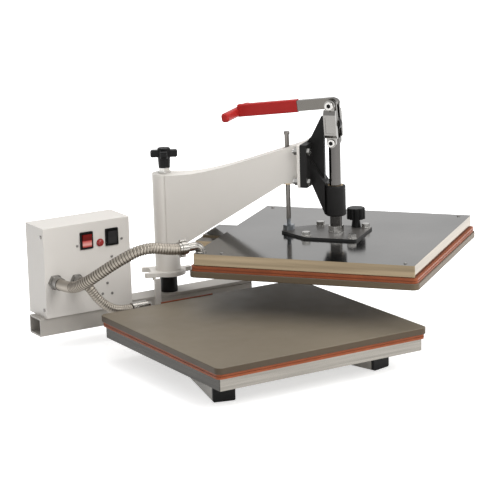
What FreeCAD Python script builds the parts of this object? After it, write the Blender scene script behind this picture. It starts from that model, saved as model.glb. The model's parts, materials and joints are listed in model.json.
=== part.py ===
import math
import os

import FreeCAD
import Part
import Sketcher
from FreeCAD import Placement, Rotation, Vector

# A swing-away heated tortilla press with a toggle lever.
# Row frame: origin on the pivot post's axis at table level, +X to the right, the lower
# platen in front of the post along -Y, +Z up.
# Everything that swings is drawn with the arm over the lower platen, along -Y, and is then
# turned about the post to the open position it rests in.

# ---------------------------------------------------------------- driving sizes (mm, degrees)

SIZES = {
    # base
    "leg_wide": 38.0,
    "leg_high": 28.0,
    "leg_wall": 3.0,
    "leg_front": 466.5,  # from the post's cross line to the leg's open front end
    "leg_back": 20.0,
    "leg_splay": 14.4,  # degrees each leg turns outwards
    "leg_offset": 36.6,  # leg centre line beside the post
    "cap_thick": 6.0,
    "cap_plug": 16.0,
    "tube_wide": 44.0,
    "tube_high": 33.0,
    "tube_wall": 3.0,
    "tube_left": 271.0,
    "tube_right": 163.0,
    "tube_corner": 3.0,
    "pad_thick": 5.0,
    "pad_left": 88.0,
    "gusset_thick": 6.0,
    "gusset_front": 110.0,
    "gusset_back": 14.0,
    # pivot post and its stop
    "post_radius": 16.0,
    "post_top": 279.0,
    "stud_radius": 6.0,
    "stud_depth": 42.0,
    "stop_wide": 11.0,
    "stop_thick": 5.0,
    "stop_offset": 36.5,
    # platens
    "platen_side": 406.4,
    "platen_corner": 11.0,
    "slab_thick": 11.0,
    "slab_edge": 1.2,
    "platen_reach": 321.8,  # post axis to platen centre
    "gasket_high": 8.5,
    "gasket_wide": 12.0,
    "gasket_inset": 2.5,
    "cover_high": 21.0,
    "cover_inset": 7.5,
    "cover_wall": 1.5,
    "standoff_high": 11.0,
    "standoff_radius": 9.0,
    "standoff_front": 100.0,  # ahead of the platen centre
    "standoff_back": 175.0,
    "lip_left": 80.0,
    "lip_right": 24.0,
    "lip_thick": 3.0,
    "lip_rise": 1.5,
    "heater_radius": 4.0,
    "heater_pitch": 60.0,
    "heater_run": 130.0,
    "housing_left": 44.0,  # the terminal housing behind the upper cover
    "housing_end": 80.0,
    "housing_right": 42.0,
    "housing_deep": 40.3,
    "housing_high": 17.0,
    "housing_down": 3.5,
    "housing_step": 2.5,
    "skirt_in": 8.8,
    "skirt_high": 9.5,
    "closed_gap": 0.4,
    "seam_gap": 0.1,
    # control box
    "box_left": 261.0,
    "box_wide": 170.0,
    "box_ahead": 6.5,  # the front sheet stands this far ahead of the tube
    "box_deep": 72.0,
    "box_high": 162.0,
    "box_sheet": 1.5,
    "box_flange": 14.0,
    "box_corner": 3.0,
    "rocker_wide": 25.0,
    "rocker_high": 31.0,
    "rocker_rim": 2.5,
    "rocker_depth": 18.0,
    "power_rocker_at": 177.3,  # left of the post
    "heat_rocker_at": 127.4,
    "rocker_level": 191.0,  # above the table
    "lamp_radius": 7.0,
    "lamp_at": 150.5,
    "lamp_level": 183.5,
    "upper_gland_at": 241.5,
    "upper_gland_level": 125.3,
    "lower_gland_at": 200.3,
    "lower_gland_level": 122.3,
    "gland_long": 22.0,
    "inlet_radius": 9.0,
    "inlet_level": 92.0,
    # conduits
    "upper_conduit_radius": 10.0,
    "lower_conduit_radius": 8.5,
    "elbow_in": 16.5,  # in from the upper platen's back edge
    "elbow_side_in": 21.0,  # in from its left edge
    "elbow_level": 12.3,  # conduit centre above the cover
    "elbow_long": 44.1,
    "elbow_bend": 11.5,
    "elbow_pipe_radius": 7.6,
    "elbow_seat_radius": 9.4,
    "clamp_long": 17.0,
    "lower_elbow_at": 96.0,
    "lower_elbow_behind": 38.0,
    "lower_elbow_level": 72.0,
    "lower_elbow_long": 30.0,
    # arm
    "swing_open": 39.5,  # the arm rests this far from the closed position
    "sleeve_radius": 23.0,
    "sleeve_bore": 18.0,
    "sleeve_bottom": 98.5,
    "sleeve_top": 285.5,
    "sleeve_cap": 5.0,
    "bush_long": 30.0,
    "washer_thick": 1.3,
    "flange_radius": 32.0,
    "flange_thick": 8.0,
    "fork_reach": 46.0,
    "fork_wide": 56.0,
    "fork_slot": 36.0,
    "fork_deep": 13.0,
    "fork_turn": 119.4,  # degrees from +X in the closed position
    "stop_pin_turn": 158.3,
    "stop_pin_reach": 38.0,
    "stop_pin_radius": 3.0,
    "stop_pin_long": 5.0,
    "tab_turn": -42.0,
    "tab_reach": 45.0,
    "tab_wide": 12.0,
    "beam_wide": 46.0,
    "beam_wall": 3.0,
    "beam_short": 57.3,  # from the beam's outer end to the platen centre
    "beam_root_low": 147.0,
    "beam_end_low": 279.8,
    "beam_end_high": 351.0,
    "beam_flat": 30.3,
    "end_plate_thick": 5.0,
    "end_plate_wide": 76.0,
    "end_plate_low": 276.0,
    "end_plate_high": 352.0,
    # toggle bracket
    "bracket_base": 12.0,
    "web_thick": 8.0,
    "web_back": 18.0,  # from the plunger axis to the web's edge
    "boss_thick": 11.4,
    "rib_wide": 29.0,
    "rib_high": 321.0,
    "rib_low": 283.0,
    "rib_barrel_high": 282.3,
    "rib_barrel_low": 225.2,
    "rib_barrel_back": 15.2,  # from the plunger axis to the rib's end
    "barrel_radius": 18.2,
    "barrel_bore": 13.5,
    "barrel_low": 222.5,
    "barrel_high": 276.5,
    "bolt_across": 61.0,
    "bolt_low": 286.0,
    "bolt_high": 340.0,
    "bolt_radius": 4.0,
    "bolt_flats": 12.0,
    "lug_radius": 13.0,
    "pivot_level": 385.4,  # frame pin above the table
    "pin_radius": 5.0,
    # toggle
    "crank_radius": 33.9,
    "crank_lean": 4.7,  # degrees past upright in the open position
    "link_long": 65.4,
    "link_wide": 22.0,
    "link_thick": 6.0,
    "link_block": 10.0,
    "pocket_rim": 3.0,
    "pocket_low": 17.0,
    "pocket_high": 20.0,
    "pocket_deep": 1.2,
    "link_gap": 0.6,  # between the lever's cheek and each link
    "cheek_thick": 5.0,
    "cheek_radius": 10.5,
    "bar_thick": 12.0,
    "bar_high": 19.0,
    "bar_rise": 3.0,
    "bar_slope": 6.2,  # degrees
    "bar_long": 172.0,
    "grip_start": 63.0,
    "grip_skin": 1.6,
    "tee_long": 124.0,
    "tee_high": 16.0,
    "tee_thick": 14.0,
    "eye_radius": 7.5,
    # plunger, plate and rod
    "shaft_radius": 10.5,
    "thread_radius": 8.0,
    "nut_high": 12.0,
    "nut_across": 24.0,
    "plate_thick": 4.0,
    "plate_ahead": 52.0,
    "plate_behind": 42.0,
    "plate_half": 52.0,
    "plate_nose": 98.0,
    "plate_nose_half": 12.0,
    "plate_bolt_pitch": 84.0,
    "plate_bolt_flats": 13.0,
    "plate_bolt_high": 7.6,
    "plate_washer_radius": 8.5,
    "plate_washer_thick": 1.6,
    "nut_washer_radius": 13.5,
    "nut_washer_thick": 2.0,
    "rod_behind": 87.6,
    "rod_radius": 4.2,
    "rod_top": 369.0,
    "rod_thread_radius": 3.5,
    "rod_thread_long": 19.0,
    "rod_nut_flats": 18.0,
    "rod_nut_high": 9.0,
    "knob_ahead": 23.0,
    "knob_across": 46.0,
    "knob_radius": 16.5,
    "knob_high": 20.0,
    "knob_lift": 15.0,
    # clamp and star knob on the post
    "clamp_washer_radius": 11.5,
    "clamp_washer_thick": 2.5,
    "clamp_nut_flats": 19.0,
    "clamp_high": 9.5,
    "star_stem": 19.5,
    "star_stem_radius": 11.5,
    "star_arm_long": 24.5,
    "star_arm_wide": 13.0,
    "star_arm_thick": 12.5,
    "star_dome": 4.1,
    "star_turn": 60.0,
    "running": 0.05,  # radial clearance of a running fit
    "seated": 0.02,  # radial clearance of a fixed fit
    "small_gap": 0.3,
}


# ---------------------------------------------------------------- sizes as expressions


class Size:
    """A size kept as a number and as the expression that the document works it out with."""

    def __init__(self, value, text):
        self.value = float(value)
        self.text = text

    def __float__(self):
        return self.value

    def joined(self, other, sign, value):
        return Size(value, f"({self.text} {sign} {as_size(other).text})")

    def __add__(self, other):
        return self.joined(other, "+", self.value + float(other))

    def __radd__(self, other):
        return as_size(other) + self

    def __sub__(self, other):
        return self.joined(other, "-", self.value - float(other))

    def __rsub__(self, other):
        return as_size(other) - self

    def __mul__(self, other):
        return self.joined(other, "*", self.value * float(other))

    def __rmul__(self, other):
        return as_size(other) * self

    def __truediv__(self, other):
        return self.joined(other, "/", self.value / float(other))

    def __neg__(self):
        return Size(-self.value, f"(0 - {self.text})")


def as_size(thing):
    if isinstance(thing, Size):
        return thing
    return Size(thing, repr(float(thing)))


def cosine(angle):
    return Size(math.cos(math.radians(float(angle))), f"cos({angle.text} * 1 deg)")


def sine(angle):
    return Size(math.sin(math.radians(float(angle))), f"sin({angle.text} * 1 deg)")


def root(thing):
    return Size(math.sqrt(float(thing)), f"sqrt({thing.text})")


DOC = FreeCAD.newDocument("tortilla_press")
SHEET = DOC.addObject("Spreadsheet::Sheet", "Sizes")
for row, (alias, number) in enumerate(SIZES.items(), start=1):
    SHEET.set(f"A{row}", alias)
    SHEET.set(f"B{row}", str(number))
    SHEET.setAlias(f"B{row}", alias)
DOC.recompute()


class Sheet:
    """Sizes by name, such as S.leg_wide."""

    def __getattr__(self, alias):
        return Size(SIZES[alias], f"Sizes.{alias}")


S = Sheet()

# ---------------------------------------------------------------- worked-out places

TUBE_TOP = S.leg_high + S.tube_high
UNIT_HIGH = S.slab_thick + S.gasket_high + S.cover_high
LOWER_BASE = S.leg_high + S.standoff_high
LOWER_TOP = LOWER_BASE + UNIT_HIGH
CRANK_BACK = S.crank_radius * sine(S.crank_lean)
CRANK_UP = S.crank_radius * cosine(S.crank_lean)
STROKE = 2 * CRANK_UP
LINK_DROP = root(S.link_long * S.link_long - CRANK_BACK * CRANK_BACK)
UPPER_LOW = LOWER_TOP + S.closed_gap + STROKE
UPPER_TOP = UPPER_LOW + UNIT_HIGH
PLATE_TOP = UPPER_TOP + S.plate_thick
CRANK_PIN = S.pivot_level + CRANK_UP
CLEVIS_PIN = CRANK_PIN - LINK_DROP
BOX_FRONT = -(S.tube_wide / 2) - S.box_ahead
BOX_BACK = BOX_FRONT + S.box_deep
BOX_TOP = TUBE_TOP + S.box_high
HALF_COVER = S.platen_side / 2 - S.cover_inset
BEAM_HALF = S.beam_wide / 2
BEAM_END = S.platen_reach - S.beam_short
BEAM_BEND = BEAM_END - S.beam_flat
ELBOW_AHEAD = S.platen_reach - S.platen_side / 2 + S.elbow_in
ELBOW_ACROSS = S.platen_side / 2 - S.elbow_side_in
BASE_FACE = BEAM_END + S.end_plate_thick
BASE_BACK = BASE_FACE + S.bracket_base
CHEEK_OUT = S.bar_thick / 2 + S.cheek_thick
LINK_IN = CHEEK_OUT + S.link_gap
LINK_OUT = LINK_IN + S.link_thick

# ---------------------------------------------------------------- building blocks

NODES = {}
X_AXIS = Vector(1, 0, 0)
Y_AXIS = Vector(0, 1, 0)
Z_AXIS = Vector(0, 0, 1)
LIE = {"z": Rotation(), "x": Rotation(Y_AXIS, 90), "y": Rotation(X_AXIS, -90)}


def bind(thing, prop, value):
    """Sets a property from a size, and keeps it tied to the sheet."""
    if isinstance(value, Size) and "Sizes" in value.text:
        thing.setExpression(prop, value.text)
    else:
        setattr(thing, prop, float(value))


def put(thing, at, turn=None):
    if turn is not None:
        thing.Placement = Placement(Vector(*[float(v) for v in at]), turn)
    else:
        thing.Placement = Placement(Vector(*[float(v) for v in at]), thing.Placement.Rotation)
    for letter, value in zip("xyz", at):
        if isinstance(value, Size) and "Sizes" in value.text:
            thing.setExpression(f"Placement.Base.{letter}", value.text)
    return thing


def block(name, xs, ys, zs):
    """A box between two planes in each direction."""
    thing = DOC.addObject("Part::Box", name)
    for prop, (low, high) in zip(("Length", "Width", "Height"), (xs, ys, zs)):
        bind(thing, prop, as_size(high) - low)
    return put(thing, (xs[0], ys[0], zs[0]))


def rod(name, radius, along, at, axis="z"):
    """A cylinder along x, y or z, from along[0] to along[1]; at gives its other two places."""
    thing = DOC.addObject("Part::Cylinder", name)
    bind(thing, "Radius", radius)
    bind(thing, "Height", as_size(along[1]) - along[0])
    a, b = at
    base = {"z": (a, b, along[0]), "x": (along[0], a, b), "y": (a, along[0], b)}[axis]
    return put(thing, base, LIE[axis])


def cone(name, low, high, along, at, axis="z"):
    thing = DOC.addObject("Part::Cone", name)
    bind(thing, "Radius1", low)
    bind(thing, "Radius2", high)
    bind(thing, "Height", as_size(along[1]) - along[0])
    a, b = at
    base = {"z": (a, b, along[0]), "x": (along[0], a, b), "y": (a, along[0], b)}[axis]
    return put(thing, base, LIE[axis])


def hexagon(name, across, along, at, axis="z"):
    """A hexagonal prism given across its flats."""
    thing = DOC.addObject("Part::Prism", name)
    thing.Polygon = 6
    bind(thing, "Circumradius", as_size(across) / math.sqrt(3))
    bind(thing, "Height", as_size(along[1]) - along[0])
    a, b = at
    base = {"z": (a, b, along[0]), "x": (along[0], a, b), "y": (a, along[0], b)}[axis]
    return put(thing, base, LIE[axis])


def fuse(name, parts):
    thing = DOC.addObject("Part::MultiFuse", name)
    thing.Shapes = parts
    thing.Refine = True
    return thing


def cut(name, base, tools):
    thing = DOC.addObject("Part::Cut", name)
    thing.Base = base
    thing.Tool = tools[0] if len(tools) == 1 else fuse(f"{name}_tools", tools)
    thing.Refine = True
    return thing


def common(name, parts):
    thing = DOC.addObject("Part::MultiCommon", name)
    thing.Shapes = parts
    return thing


def group(name, parts):
    """Separate solids in one sub-part, such as a set of screws."""
    thing = DOC.addObject("Part::Compound", name)
    thing.Links = parts
    return thing


def tube(name, radius, bore, along, at, axis="z"):
    outer = rod(f"{name}_outer", radius, along, at, axis)
    inner = rod(f"{name}_inner", bore, along, at, axis)
    return cut(name, outer, [inner])


def rounded(name, base, radius, wanted):
    """Rounds the straight edges of base that wanted(edge) picks."""
    DOC.recompute()
    thing = DOC.addObject("Part::Fillet", name)
    thing.Base = base
    picked = [
        (i, float(radius), float(radius))
        for i, edge in enumerate(base.Shape.Edges, start=1)
        if wanted(edge)
    ]
    thing.Edges = picked
    return thing


def runs_along(axis):
    """Picks edges parallel to an axis."""

    def wanted(edge):
        if edge.Curve.TypeId != "Part::GeomLine":
            return False
        return abs(abs(edge.tangentAt(edge.FirstParameter).dot(axis)) - 1) < 1e-6

    return wanted


def lies_at(axis, level):
    """Picks edges that lie wholly in the plane at a level along an axis."""

    def wanted(edge):
        ends = [v.Point.dot(axis) for v in edge.Vertexes]
        middle = edge.valueAt((edge.FirstParameter + edge.LastParameter) / 2).dot(axis)
        return all(abs(p - float(level)) < 1e-4 for p in ends + [middle])

    return wanted


def origin_plane(body, role):
    for feature in body.Origin.OriginFeatures:
        if feature.Role == role:
            return feature
    raise ValueError(role)


PLANES = {"xy": ("XY_Plane", 1), "xz": ("XZ_Plane", -1), "yz": ("YZ_Plane", 1)}


def pin_point(sketch, geo, point, x, y):
    """Ties one end of a line to its two sizes, measured from the sketch's origin."""
    for kind, value in (("DistanceX", x), ("DistanceY", y)):
        value = as_size(value)
        if abs(float(value)) < 1e-9:
            on_axis = -2 if kind == "DistanceX" else -1
            made = Sketcher.Constraint("PointOnObject", geo, point, on_axis)
            sketch.addConstraint(made)
            continue
        if float(value) > 0:
            made = Sketcher.Constraint(kind, -1, 1, geo, point, float(value))
        else:
            made = Sketcher.Constraint(kind, geo, point, -1, 1, -float(value))
        index = sketch.addConstraint(made)
        if "Sizes" in value.text:
            text = value.text if float(value) > 0 else f"(0 - {value.text})"
            sketch.setExpression(f"Constraints[{index}]", text)


def plate(name, plane, points, span):
    """A body padded from a polygon of sizes: points lie in the plane, span runs across it."""
    role, way = PLANES[plane]
    body = DOC.addObject("PartDesign::Body", name)
    sketch = body.newObject("Sketcher::SketchObject", f"{name}_sketch")
    sketch.AttachmentSupport = [(origin_plane(body, role), "")]
    sketch.MapMode = "FlatFace"
    start = as_size(span[0]) if way > 0 else -as_size(span[1])
    sketch.AttachmentOffset = Placement(Vector(0, 0, float(start)), Rotation())
    if "Sizes" in start.text:
        sketch.setExpression("AttachmentOffset.Base.z", start.text)
    places = [Vector(float(a), float(b), 0) for a, b in points]
    count = len(places)
    for i in range(count):
        sketch.addGeometry(Part.LineSegment(places[i], places[(i + 1) % count]), False)
    for i in range(count):
        sketch.addConstraint(Sketcher.Constraint("Coincident", i, 2, (i + 1) % count, 1))
    for i, (a, b) in enumerate(points):
        pin_point(sketch, i, 1, a, b)
    pad = body.newObject("PartDesign::Pad", f"{name}_pad")
    pad.Profile = sketch
    bind(pad, "Length", as_size(span[1]) - span[0])
    body.Tip = pad
    return body


def swung(thing):
    """Turns a piece of the arm from the closed to the open position."""
    placed = any(path.startswith("Placement") for path, _ in thing.ExpressionEngine)
    if placed or not thing.Placement.isIdentity():
        thing = group(f"{thing.Name}_held", [thing])
    thing.Placement = Placement(Vector(), Rotation(Z_AXIS, SIZES["swing_open"]))
    thing.setExpression("Placement.Rotation.Angle", "Sizes.swing_open")
    return thing


def node(name, thing):
    """Keeps a finished piece under the name of its file."""
    thing.Label = name
    NODES[name] = thing
    return thing


def arm_node(name, thing):
    return node(name, swung(thing))


# ---------------------------------------------------------------- base


def make_leg(name, side):
    half = S.leg_wide / 2
    outer = block(f"{name}_outer", (-half, half), (-S.leg_front, S.leg_back), (0, S.leg_high))
    outer = rounded(f"{name}_round", outer, SIZES["tube_corner"], runs_along(Y_AXIS))
    inner = block(
        f"{name}_inner",
        (-half + S.leg_wall, half - S.leg_wall),
        (-S.leg_front - 1, S.leg_back + 1),
        (S.leg_wall, S.leg_high - S.leg_wall),
    )
    leg = cut(name, outer, [inner])
    return node(name, splay(leg, side))


def splay(thing, side):
    """Turns a piece drawn along -Y outwards, and sets it beside the post."""
    turn = side * SIZES["leg_splay"]
    thing.Placement = Placement(Vector(side * SIZES["leg_offset"], 0, 0), Rotation(Z_AXIS, turn))
    sign = "" if side > 0 else "0 - "
    thing.setExpression("Placement.Base.x", f"{sign}Sizes.leg_offset")
    return thing


def make_cap(name, side, front):
    half = S.leg_wide / 2
    inner = half - S.leg_wall - 0.1
    wall = S.leg_wall + 0.1
    if front:
        plate_y = (-S.leg_front - S.cap_thick, -S.leg_front)
        plug_y = (-S.leg_front, -S.leg_front + S.cap_plug)
    else:
        plate_y = (S.leg_back, S.leg_back + S.cap_thick)
        plug_y = (S.leg_back - S.cap_plug, S.leg_back)
    face = block(f"{name}_face", (-half, half), plate_y, (0, S.leg_high))
    face = rounded(f"{name}_round", face, SIZES["tube_corner"], runs_along(Y_AXIS))
    plug = block(f"{name}_plug", (-inner, inner), plug_y, (wall, S.leg_high - wall))
    return splay(fuse(name, [face, plug]), side)


def make_base():
    make_leg("left_leg", -1)
    make_leg("right_leg", 1)
    caps = [
        make_cap(f"cap_{'right' if side > 0 else 'left'}_{'front' if front else 'back'}", side, front)
        for side in (-1, 1)
        for front in (True, False)
    ]
    node("leg_end_caps", group("leg_end_caps", caps))

    half = S.tube_wide / 2
    outer = block("tube_outer", (-S.tube_left, S.tube_right), (-half, half), (S.leg_high, TUBE_TOP))
    outer = rounded("tube_round", outer, SIZES["tube_corner"], runs_along(X_AXIS))
    inner = block(
        "tube_inner",
        (-S.tube_left - 1, S.tube_right + 1),
        (-half + S.tube_wall, half - S.tube_wall),
        (S.leg_high + S.tube_wall, TUBE_TOP - S.tube_wall),
    )
    pad = block("tube_pad", (-S.pad_left, S.tube_right), (-half, half), (TUBE_TOP, TUBE_TOP + S.pad_thick))
    hole = rod(
        "tube_post_hole", S.post_radius + 0.1,
        (TUBE_TOP - S.tube_wall - 1, TUBE_TOP + S.pad_thick + 1), (0, 0),
    )
    node("cross_tube", cut("cross_tube", fuse("tube_with_pad", [outer, pad]), [inner, hole]))

    slope = math.tan(math.radians(SIZES["leg_splay"]))
    edge = S.leg_offset - S.leg_wide / 2 / cosine(S.leg_splay) - S.small_gap
    front = edge + S.gusset_front * slope
    back = edge - S.gusset_back * slope
    outline = [
        (-front, -S.gusset_front),
        (front, -S.gusset_front),
        (back, S.gusset_back),
        (-back, S.gusset_back),
    ]
    node("apex_gusset", plate("apex_gusset", "xy", outline, (0, S.gusset_thick)))

    post = rod("post_solid", S.post_radius, (S.leg_high + S.tube_wall, S.post_top), (0, 0))
    bore = rod("post_bore", S.stud_radius + S.running, (S.post_top - S.stud_depth, S.post_top + 1), (0, 0))
    node("pivot_post", cut("pivot_post", post, [bore]))

    node(
        "stop_bar",
        block(
            "stop_bar",
            (-S.stop_offset - S.stop_wide / 2, -S.stop_offset + S.stop_wide / 2),
            (-half - S.stop_thick, -half),
            (S.leg_high, S.sleeve_bottom - 0.5),
        ),
    )


# ---------------------------------------------------------------- heated platens


def slab(name, low):
    """A square aluminium platen with rounded corners and eased edges."""
    half = S.platen_side / 2
    centre = -S.platen_reach
    body = block(f"{name}_blank", (-half, half), (centre - half, centre + half), (low, low + S.slab_thick))
    body = rounded(f"{name}_corners", body, SIZES["platen_corner"], runs_along(Z_AXIS))
    return body


def ease(name, body, levels):
    def wanted(edge):
        return any(lies_at(Z_AXIS, level)(edge) for level in levels)

    return rounded(name, body, SIZES["slab_edge"], wanted)


def ring_of_gasket(name, low):
    """The silicone bead between slab and cover: a square ring with rounded outer corners."""
    outer_half = S.platen_side / 2 - S.gasket_inset
    inner_half = outer_half - S.gasket_wide
    centre = -S.platen_reach
    outer = block(
        f"{name}_outer", (-outer_half, outer_half), (centre - outer_half, centre + outer_half),
        (low, low + S.gasket_high),
    )
    outer = rounded(f"{name}_corners", outer, SIZES["platen_corner"] - 2, runs_along(Z_AXIS))
    inner = block(
        f"{name}_inner", (-inner_half, inner_half), (centre - inner_half, centre + inner_half),
        (low - 1, low + S.gasket_high + 1),
    )
    ring = cut(f"{name}_ring", outer, [inner])
    middle = low + S.gasket_high / 2
    groove_half = outer_half - 1.2
    groove_outer = block(
        f"{name}_groove_outer", (-outer_half - 2, outer_half + 2),
        (centre - outer_half - 2, centre + outer_half + 2), (middle - 0.6, middle + 0.6),
    )
    groove_inner = block(
        f"{name}_groove_inner", (-groove_half, groove_half),
        (centre - groove_half, centre + groove_half), (middle - 1, middle + 1),
    )
    corner = SIZES["platen_corner"] - 3
    groove_inner = rounded(f"{name}_groove_round", groove_inner, corner, runs_along(Z_AXIS))
    groove = cut(f"{name}_groove", groove_outer, [groove_inner])
    return cut(name, ring, [groove])


def back_lip(name, low):
    """The strip of silicone that stands behind the slab, with a tongue down its back."""
    back = -S.platen_reach + S.platen_side / 2
    span = (-S.lip_left, S.lip_right)
    top = low + S.gasket_high + S.slab_thick + S.lip_rise
    outside = back + S.small_gap + S.lip_thick
    strip = block(f"{name}_strip", span, (back + S.small_gap, outside), (low + 5, top))
    foot_y = (back - S.gasket_inset + S.seam_gap, outside)
    foot = block(f"{name}_foot", span, foot_y, (low + 5, low + S.gasket_high - S.small_gap))
    return fuse(name, [strip, foot])


def tray(name, low, high, open_low):
    """The folded stainless cover: four walls and a flat face, open on the slab's side."""
    half = HALF_COVER
    centre = -S.platen_reach
    outer = block(f"{name}_outer", (-half, half), (centre - half, centre + half), (low, high))
    outer = rounded(f"{name}_corners", outer, 2.0, runs_along(Z_AXIS))
    inside = half - S.cover_wall
    if open_low:
        zs = (low - 1, high - S.cover_wall)
    else:
        zs = (low + S.cover_wall, high + 1)
    inner = block(f"{name}_inner", (-inside, inside), (centre - inside, centre + inside), zs)
    return cut(f"{name}_shell", outer, [inner])


def pad_of_wool(name, low, high):
    half = HALF_COVER - S.cover_wall - 0.5
    centre = -S.platen_reach
    return block(name, (-half, half), (centre - half, centre + half), (low, high))


def serpentine(name, level):
    """The tubular element: straight runs joined by half-circle bends."""
    radius = SIZES["heater_radius"]
    pitch = SIZES["heater_pitch"]
    run = SIZES["heater_run"]
    centre = -SIZES["platen_reach"]
    z = float(level)
    edges = []
    count = 5
    for i in range(count):
        x = (i - (count - 1) / 2) * pitch
        low = Vector(x, centre - run, z)
        high = Vector(x, centre + run, z)
        edges.append(Part.LineSegment(low, high).toShape())
        if i < count - 1:
            way = 1 if i % 2 == 0 else -1
            end_y = centre + way * run
            start = Vector(x, end_y, z)
            finish = Vector(x + pitch, end_y, z)
            top = Vector(x + pitch / 2, end_y + way * pitch / 2, z)
            edges.append(Part.Arc(start, top, finish).toShape())
    path = Part.Wire(Part.__sortEdges__(edges))
    first = path.OrderedEdges[0]
    start = first.valueAt(first.FirstParameter)
    way = first.tangentAt(first.FirstParameter)
    profile = Part.Wire(Part.Circle(start, way, radius).toShape())
    thing = DOC.addObject("Part::Feature", name)
    thing.Shape = path.makePipeShell([profile], True, True)
    return thing


def screw(name, head_radius, head_high, shank_radius, shank_long, at, axis, way):
    """A dome-headed screw; at is the seat under its head, way is where the head points."""
    letters = "xyz"
    k = letters.index(axis)
    others = [v for i, v in enumerate(at) if i != k]
    seat = as_size(at[k])
    head_span = (seat, seat + head_high) if way > 0 else (seat - head_high, seat)
    shank_span = (seat - shank_long, seat + 0.2) if way > 0 else (seat - 0.2, seat + shank_long)
    head = rod(f"{name}_head", head_radius, head_span, others, axis)
    outer_face = float(seat) + way * float(head_high)
    along = Vector(*[1 if letter == axis else 0 for letter in letters])
    head = rounded(f"{name}_dome", head, head_high * 0.6, lies_at(along, outer_face))
    shank = rod(f"{name}_shank", shank_radius, shank_span, others, axis)
    hole = rod(f"{name}_hole", shank_radius + 0.1, (as_size(seat) - 2, as_size(seat) + 2), others, axis)
    return fuse(name, [head, shank]), hole


def cover_screws(name, level, top_level):
    """Small screws in the cover's back and right walls, and in its top where it has one."""
    made = []
    half = HALF_COVER
    centre = -S.platen_reach
    for i, share in enumerate((-0.8, 0.8)):
        along = half * share
        made.append(screw(f"{name}_b{i}", 3.0, 1.6, 1.5, 1.4, (along, centre + half, level), "y", 1))
        made.append(screw(f"{name}_r{i}", 3.0, 1.6, 1.5, 1.4, (half, centre + along, level), "x", 1))
    if top_level is not None:
        for i, (a, b) in enumerate(((-0.93, -0.9), (0.93, -0.9), (-0.93, 0.76), (0.93, 0.92))):
            made.append(
                screw(f"{name}_t{i}", 3.0, 1.6, 1.5, 1.4, (half * a, centre + half * b, top_level), "z", 1)
            )
    return made


def set_of_screws(name, made):
    """The screws as one piece, and the holes they need."""
    return group(name, [each for each, _ in made]), [hole for _, hole in made]


def make_lower_unit():
    slab_low = LOWER_TOP - S.slab_thick
    cover_top = LOWER_BASE + S.cover_high
    node("lower_platen", ease("lower_platen", slab("lower_slab", slab_low), (slab_low, LOWER_TOP)))
    node("lower_gasket", ring_of_gasket("lower_gasket", cover_top))
    node("gasket_lip", back_lip("gasket_lip", cover_top))
    back = -S.platen_reach + HALF_COVER
    hole = rod(
        "lower_cover_hole", S.lower_conduit_radius, (back - 4, back + 1),
        (-S.lower_elbow_at, LOWER_BASE + S.cover_high / 2), "y",
    )
    made = cover_screws("lower_cover_screw", LOWER_BASE + S.cover_high / 2, None)
    screws, screw_holes = set_of_screws("lower_cover_screws", made)
    node("lower_cover_screws", screws)
    shell = tray("lower_tray", LOWER_BASE, cover_top, False)
    node("lower_cover", cut("lower_cover", shell, [hole] + screw_holes))
    element_level = slab_low - S.heater_radius
    node("lower_heater", serpentine("lower_heater", element_level))
    wool_top = cover_top - S.small_gap
    node("lower_insulation", pad_of_wool("lower_insulation", LOWER_BASE + S.cover_wall, wool_top))

    legs = []
    for side in (-1, 1):
        for i, ahead in enumerate((S.platen_reach - S.standoff_back, S.platen_reach + S.standoff_front)):
            spacer = rod(f"standoff_{side}_{i}", S.standoff_radius, (S.leg_high, LOWER_BASE), (0, -ahead))
            legs.append(splay(spacer_holder(spacer, f"standoff_seat_{side}_{i}"), side))
    node("platen_standoffs", group("platen_standoffs", legs))


def spacer_holder(spacer, name):
    """A holder, whose own placement can carry the leg's splay."""
    return group(name, [spacer])


def make_upper_unit():
    slab_top = UPPER_LOW + S.slab_thick
    cover_low = slab_top + S.gasket_high
    arm_node("upper_platen", ease("upper_platen", slab("upper_slab", UPPER_LOW), (UPPER_LOW, slab_top)))
    arm_node("upper_gasket", ring_of_gasket("upper_gasket", slab_top))
    shell = fuse("upper_shell", [tray("upper_tray", cover_low, UPPER_TOP, True), terminal_housing()])
    hole = rod(
        "upper_cover_hole", S.elbow_pipe_radius - 2, (UPPER_TOP - 3, UPPER_TOP + 1),
        (-ELBOW_ACROSS, -ELBOW_AHEAD),
    )
    made = cover_screws("upper_cover_screw", cover_low + S.cover_high / 2, UPPER_TOP)
    screws, screw_holes = set_of_screws("upper_cover_screws", made)
    arm_node("upper_cover_screws", screws)
    arm_node("upper_cover", cut("upper_cover", shell, [hole] + screw_holes))
    element_level = slab_top + S.heater_radius
    arm_node("upper_heater", serpentine("upper_heater", element_level))
    wool_low = cover_low + S.small_gap
    arm_node("upper_insulation", pad_of_wool("upper_insulation", wool_low, UPPER_TOP - S.cover_wall))


def terminal_housing():
    """The folded box behind the upper cover, over the element's ends: lower at its end, open below."""
    back = -S.platen_reach + HALF_COVER
    rear = back + S.housing_deep
    top = UPPER_TOP - S.housing_down
    low = top - S.housing_high
    bottom = low - S.skirt_high
    wall = S.cover_wall
    left = -S.housing_left
    end = -S.housing_end
    outside = [
        block("housing_main", (left, S.housing_right), (back - wall / 2, rear), (low, top)),
        block("housing_low", (end, left + wall), (back - wall / 2, rear), (low, top - S.housing_step)),
        block("housing_skirt", (end, S.housing_right), (back + S.skirt_in, rear), (bottom, low + wall)),
    ]
    inside = [
        block(
            "housing_room", (left + wall, S.housing_right - wall), (back, rear - wall),
            (bottom - 1, top - wall),
        ),
        block(
            "housing_low_room", (end + wall, left + wall + 1), (back, rear - wall),
            (bottom - 1, top - S.housing_step - wall),
        ),
    ]
    return cut("housing", fuse("housing_outside", outside), inside)


# ---------------------------------------------------------------- control box


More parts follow.
